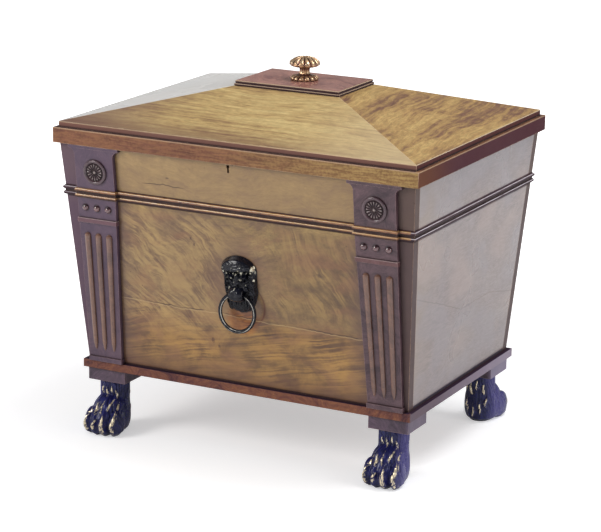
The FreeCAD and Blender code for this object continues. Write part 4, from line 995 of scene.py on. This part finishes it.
def moulding_patina(tree, colour):
    """Painted highlights along the bead tops and painted shade in the groove between; dark violet where it
    turns the corners.
    """
    x, _, z = spots(tree)
    turned = most(ease(x, 0.3215, 0.3225), ease(x, -0.3, -0.303))
    colour = stained(colour, [turned, 0.92], (0.04, 0.014, 0.034))
    # painted shade in the groove between the beads and along the lower half of the lower bead
    groove = most(band(z, 0.4362, 0.4424, 0.0014), ease(z, 0.434, 0.4318))
    colour = stained(colour, [groove, 0.95], (0.022, 0.008, 0.012))
    # painted highlights along the tops of the two beads
    crest = most(band(z, 0.4449, 0.4458, 0.0008), band(z, 0.4346, 0.4355, 0.0008))
    uneven = ease(speckle(tree, (26, 26, 26), 3.0), 0.3, 0.6, 0.35, 0.95)
    rubbed_and_lit = blend(turned, (0.78, 0.52, 0.22), (0.75, 0.7, 0.74))
    return blend(times(crest, uneven), colour, rubbed_and_lit), most(groove, turned)


def block_patina(tree, colour):
    """The corner blocks: a pale lilac painted sheen on the right side towards the back."""
    x, y, _ = spots(tree)
    side = times(ease(x, 0.3, 0.31), ease(y, -0.12, 0.2, 0.3, 0.9))
    return blend(side, colour, (0.24, 0.19, 0.31)), None


BALL_X, BALL_Z, BALL_PITCH = 0.2623, 0.4129, 0.0222


def ball_shadows(x, z):
    """Painted shadow: dark rings round the three balls on each pilaster, where they sit on it."""
    off = maths("ABSOLUTE", minus(maths("ABSOLUTE", x), BALL_X))
    off = maths("MINIMUM", off, maths("ABSOLUTE", minus(off, BALL_PITCH)))
    return ease(maths("SQRT", about(off, z, (0, BALL_Z))), 0.0082, 0.0062)


def bead_patina(tree, colour):
    """The balls are darker along the top."""
    dark = ease(spots(tree)[2], 0.4138, 0.4168)
    return stained(colour, [dark, 0.85], (0.016, 0.006, 0.012)), None


def pilaster_patina(tree, colour):
    """The left pilaster is more lilac; the cross bands are worn red with a painted highlight along their top
    edge; painted shadows ring the balls.
    """
    x, _, z = spots(tree)
    lilac = times(ease(x, 0.0, -0.01, 0.0, 0.55), ease(z, 0.2, 0.42, 0.7, 1.0))
    colour = blend(lilac, colour, (0.1, 0.062, 0.12))
    red = times(band(z, 0.3862, 0.3925, 0.001), 0.35)
    colour = blend(red, colour, (0.25, 0.1, 0.085))
    # a painted highlight along the top edge of the cross bands
    colour = stained(colour, [band(z, 0.3928, 0.3938, 0.0005), 0.6], (0.55, 0.4, 0.38))
    return stained(colour, [ball_shadows(x, z), 0.75], (0.016, 0.008, 0.018)), red


def patera_patina(tree, colour):
    """Painted highlights on the petal crests over painted shade, near black, in the recesses."""
    painted_shade_and_sheen = marked(tree, "painted_shade_and_sheen")
    colour = stained(colour, [painted_shade_and_sheen, 0.92], (0.012, 0.007, 0.01))
    return stained(colour, [marked(tree, "rubbed_and_lit"), 0.7], (0.5, 0.42, 0.36)), painted_shade_and_sheen


RING_X, RING_Z = 0.005, 0.2651


def ring_glint_lines(tree):
    """Painted highlights: bright lines along the ring's wire, at its inner edge on the left and its outer
    edge elsewhere.
    """
    x, _, z = spots(tree)
    across, up = minus(x, RING_X), minus(z, RING_Z)
    far = maths("SQRT", about(x, z, (RING_X, RING_Z)))
    uneven = ease(grain_noise(place_on_piece(tree), 110.0, 3.0, 0.6), 0.36, 0.5, 0.25, 1.0)
    inner = times(band(far, 0.0299, 0.0307, 0.0005), ease(across, 0.004, -0.006))
    outer = times(band(far, 0.033, 0.0336, 0.0005), ease(across, 0.012, 0.02))
    low = times(band(far, 0.0336, 0.0342, 0.0005), ease(up, -0.02, -0.028))
    line = most(most(inner, outer), times(low, 0.6))
    return times(line, uneven)


def metal(name, colour, shade, rough, painted_shade_and_sheen=None, gilt=None, glint_lines=None, metallic=1.0, scale=120.0,
          lacquer=0.0, shine=0.5):
    """A cast or drawn metal with tarnish and painted shade in its crevices; the mark colours give painted
    shade and sheen, painted glint lines, and gilding with painted glints.
    """
    made, tree, shader = material(name)
    skin = effect(tree, TARNISH, Scale=scale)
    tone = blend(skin["Bright"], shade, colour)
    # painted shade in crevices
    tone = stained(tone, [effect(tree, SHADE_AND_GRIME)["Shaded"], 0.7], shade)
    if painted_shade_and_sheen:
        tone = blend(marked(tree, "painted_shade_and_sheen"), tone, painted_shade_and_sheen)
    # painted highlights in a pale colour
    if glint_lines:
        tone = blend(glint_lines(tree), tone, (0.8, 0.76, 0.68))
    if gilt:
        gilt_and_glint = marked(tree, "gilt")
        patchy = ease(grain_noise(place_on_piece(tree), 190.0, 4.0, 0.7), 0.44, 0.56)
        patchy = most(patchy, ease(gilt_and_glint, 0.95, 1.05))
        bright = times(ease(gilt_and_glint, 0.45, 0.7), patchy)
        tone = blend(bright, tone, gilt)
        tree.links.new(times(bright, 0.65), shader.inputs["Metallic"])
    else:
        shader.inputs["Metallic"].default_value = metallic
    dull = ease(skin["Bright"], 0.0, 1.0, rough + 0.16, rough)
    surface(tree, shader, tone, dull, skin["Pits"], 0.18, 0.0005)
    shader.inputs["Specular IOR Level"].default_value = shine
    shader.inputs["Coat Weight"].default_value = lacquer
    return made


MAUVE = dict(light=(0.135, 0.074, 0.088), mid=(0.09, 0.048, 0.06), dark=(0.042, 0.02, 0.03))
LILAC_EDGE = (0.42, 0.27, 0.26)
GILT = (0.86, 0.74, 0.52)
PAINTED_GLINT = (0.95, 0.9, 0.72)
UPRIGHT = (0, 90, 0)

front = wood("front veneer", (0.43, 0.28, 0.1), (0.29, 0.18, 0.068), (0.17, 0.095, 0.052), rough=0.36,
             coat=0.3, tint=front_patina, Figure=1.3, Mottle=0.55, Stripe=0.2, Swirl=0.1)
side = wood("side veneer", (0.3, 0.225, 0.2), (0.245, 0.18, 0.17), (0.155, 0.108, 0.115), turn=(0, 0, 90),
            rough=0.3, coat=0.7, tint=side_patina, Figure=0.5, Mottle=0.18, Stripe=0.12, Swirl=0.05)
rail = wood("rail veneer", (0.27, 0.115, 0.06), (0.19, 0.075, 0.045), (0.09, 0.03, 0.024), rough=0.42,
            coat=0.0, shine=0.3, tint=rail_patina, edge=(0.72, 0.5, 0.33), Mottle=0.3, Stripe=0.35,
            Swirl=0.04)
slope = wood("slope veneer", (0.62, 0.46, 0.2), (0.5, 0.34, 0.14), (0.3, 0.18, 0.085), rough=0.34, coat=0.3,
             tint=slope_patina, edge=(0.82, 0.66, 0.45), Figure=1.0, Mottle=0.35, Stripe=0.8, Swirl=0.03)
side_slope = wood("side slope veneer", (0.6, 0.4, 0.15), (0.45, 0.27, 0.1), (0.2, 0.095, 0.06),
                  turn=(0, 0, 86), rough=0.4, coat=0.1, tint=side_slope_patina, edge=(0.78, 0.58, 0.36),
                  Figure=1.5, Mottle=0.3, Stripe=0.6, Swirl=0.05)
white_slope = wood("left slope veneer", (0.72, 0.6, 0.4), (0.62, 0.48, 0.29), (0.42, 0.29, 0.18),
                   turn=(0, 0, 94), rough=0.24, coat=1.0, bloom=1.0, tint=bloom_patina, edge=(0.8, 0.7, 0.5),
                   Figure=1.2, Mottle=0.3, Stripe=0.5, Swirl=0.05)
cap = wood("cap mahogany", (0.43, 0.2, 0.15), (0.33, 0.145, 0.115), (0.19, 0.07, 0.062), rough=0.4, coat=0.2,
           tint=cap_patina, edge=(0.62, 0.38, 0.22), Mottle=0.15, Stripe=0.5)
base = wood("base mahogany", (0.27, 0.11, 0.055), (0.18, 0.068, 0.048), (0.078, 0.03, 0.036), rough=0.42,
            coat=0.0, shine=0.2, tint=base_patina, Mottle=0.3, Stripe=0.5)
blocks = wood("block mahogany", (0.12, 0.07, 0.108), (0.08, 0.047, 0.075), (0.038, 0.02, 0.038), rough=0.38,
              coat=0.1, tint=block_patina, edge=LILAC_EDGE, Stripe=0.35)
pilaster = wood("pilaster mahogany", **MAUVE, turn=UPRIGHT, rough=0.36, coat=0.12, edge=LILAC_EDGE,
                tint=pilaster_patina, Stripe=0.3)
boss = wood("patera mahogany", **MAUVE, rough=0.3, coat=0.6, gloss=0.06, edge=LILAC_EDGE,
            tint=patera_patina, Stripe=0.2)
reed = wood("reed mahogany", (0.24, 0.115, 0.07), (0.18, 0.082, 0.056), (0.09, 0.04, 0.034), turn=UPRIGHT,
            rough=0.26, coat=1.0, gloss=0.05, Mottle=0.12, Stripe=0.25)
beads = wood("bead mahogany", (0.24, 0.1, 0.1), (0.15, 0.058, 0.064), (0.06, 0.02, 0.026), rough=0.14,
             coat=1.0, gloss=0.03, shine=1.0, tint=bead_patina, Stripe=0.3)
moulding = wood("moulding mahogany", (0.42, 0.19, 0.07), (0.29, 0.12, 0.05), (0.12, 0.045, 0.03), rough=0.3,
                coat=0.4, gloss=0.08, tint=moulding_patina, Stripe=0.35)
inside = wood("inside mahogany", (0.3, 0.13, 0.06), (0.22, 0.085, 0.04), (0.1, 0.035, 0.02), rough=0.5,
              coat=0.0)
beech = wood("beech", (0.6, 0.42, 0.25), (0.5, 0.33, 0.18), (0.36, 0.22, 0.11), turn=UPRIGHT, rough=0.5,
             coat=0.0)
# its mark colour is the pale lavender painted sheen on each paw's outward side
ebonised = metal("ebonised and gilt wood", (0.022, 0.024, 0.13), (0.005, 0.006, 0.05), 0.22, gilt=GILT,
                 lacquer=0.25, painted_shade_and_sheen=(0.075, 0.065, 0.23), shine=0.25)
# its gilt colour paints the glints of the mask and muzzle
bronze = metal("black bronze", (0.007, 0.008, 0.018), (0.003, 0.003, 0.007), 0.14, gilt=PAINTED_GLINT,
               lacquer=0.12, shine=0.35)
ring_bronze = metal("ring bronze", (0.01, 0.011, 0.02), (0.005, 0.006, 0.01), 0.08, glint_lines=ring_glint_lines,
                    metallic=0.0, lacquer=0.12, shine=0.25)
# its mark colour is the painted shade of the knob
gilt_brass = metal("gilt brass", (0.95, 0.74, 0.5), (0.76, 0.46, 0.24), 0.2, painted_shade_and_sheen=(0.09, 0.02, 0.035),
                   metallic=0.78)
brass = metal("brass", (0.7, 0.5, 0.22), (0.42, 0.28, 0.12), 0.3)
dull_brass = metal("dull brass", (0.2, 0.13, 0.07), (0.07, 0.04, 0.03), 0.4)
steel = metal("steel", (0.45, 0.45, 0.46), (0.3, 0.28, 0.27), 0.35)
lead = metal("lead lining", (0.32, 0.33, 0.35), (0.2, 0.2, 0.22), 0.55, scale=40.0)

SIDES = {"left": -1, "right": 1}
ENDS = {"front": -1, "back": 1}
CORNERS = [(end, hand) for end in ENDS for hand in SIDES]
FOOT_X, FOOT_Y = 270.5, 183
PATERA_PLACES = {"left_patera": -260.3, "right_patera": 262}

dress(front, "front_board", "back_board")
dress(side, "left_board", "right_board")
dress(slope, "lid_front_slope", "lid_back_slope")
dress(side_slope, "lid_right_slope")
dress(white_slope, "lid_left_slope")
dress(rail, "lid_frame")
dress(cap, "lid_cap", "cap_bearer")
dress(base, "base_board", "bottom_board")
dress(blocks, *[f"corner_block_{end}_{hand}" for end, hand in CORNERS])
dress(pilaster, *[f"{hand}_pilaster_{part}" for hand in SIDES for part in ("block", "shaft", "foot")])
dress(pilaster, "left_cross_band", "right_cross_band")
dress(reed, "left_reeds", "right_reeds")
dress(beads, "pilaster_balls")
dress(moulding, "waist_moulding", "left_pilaster_break", "right_pilaster_break")
dress(inside, "lid_lining", "long_partitions", "cross_partitions")
dress(beech, "foot_dowels")
dress(dull_brass, "keyhole_escutcheon")
dress(brass, "lock_bolt", "lock_case", "lock_staple", "lower_hinge_screws", "upper_hinge_screws")
dress(brass, *[f"{hand}_hinge_{part}" for hand in SIDES for part in ("lower", "upper")])
dress(steel, "hinge_pins", "mask_bolt", "knob_bolt")
dress(lead, "liner")
dress(ring_bronze, "ring_pull")
dress(bronze, "lion_mask")
dress(ebonised, *[f"paw_foot_{end}_{hand}" for end, hand in CORNERS])
dress(gilt_brass, "knob")
dress(boss, *PATERA_PLACES)

for end, hand in CORNERS:
    turn = 0 if end == "front" else math.pi
    carve_paw(f"paw_foot_{end}_{hand}", SIDES[hand] * FOOT_X, ENDS[end] * FOOT_Y, turn, ebonised)
carve_mask(bronze)
carve_muzzle(bronze)
carve_knob(gilt_brass)
for name, x in PATERA_PLACES.items():
    carve_patera(name, x, boss)
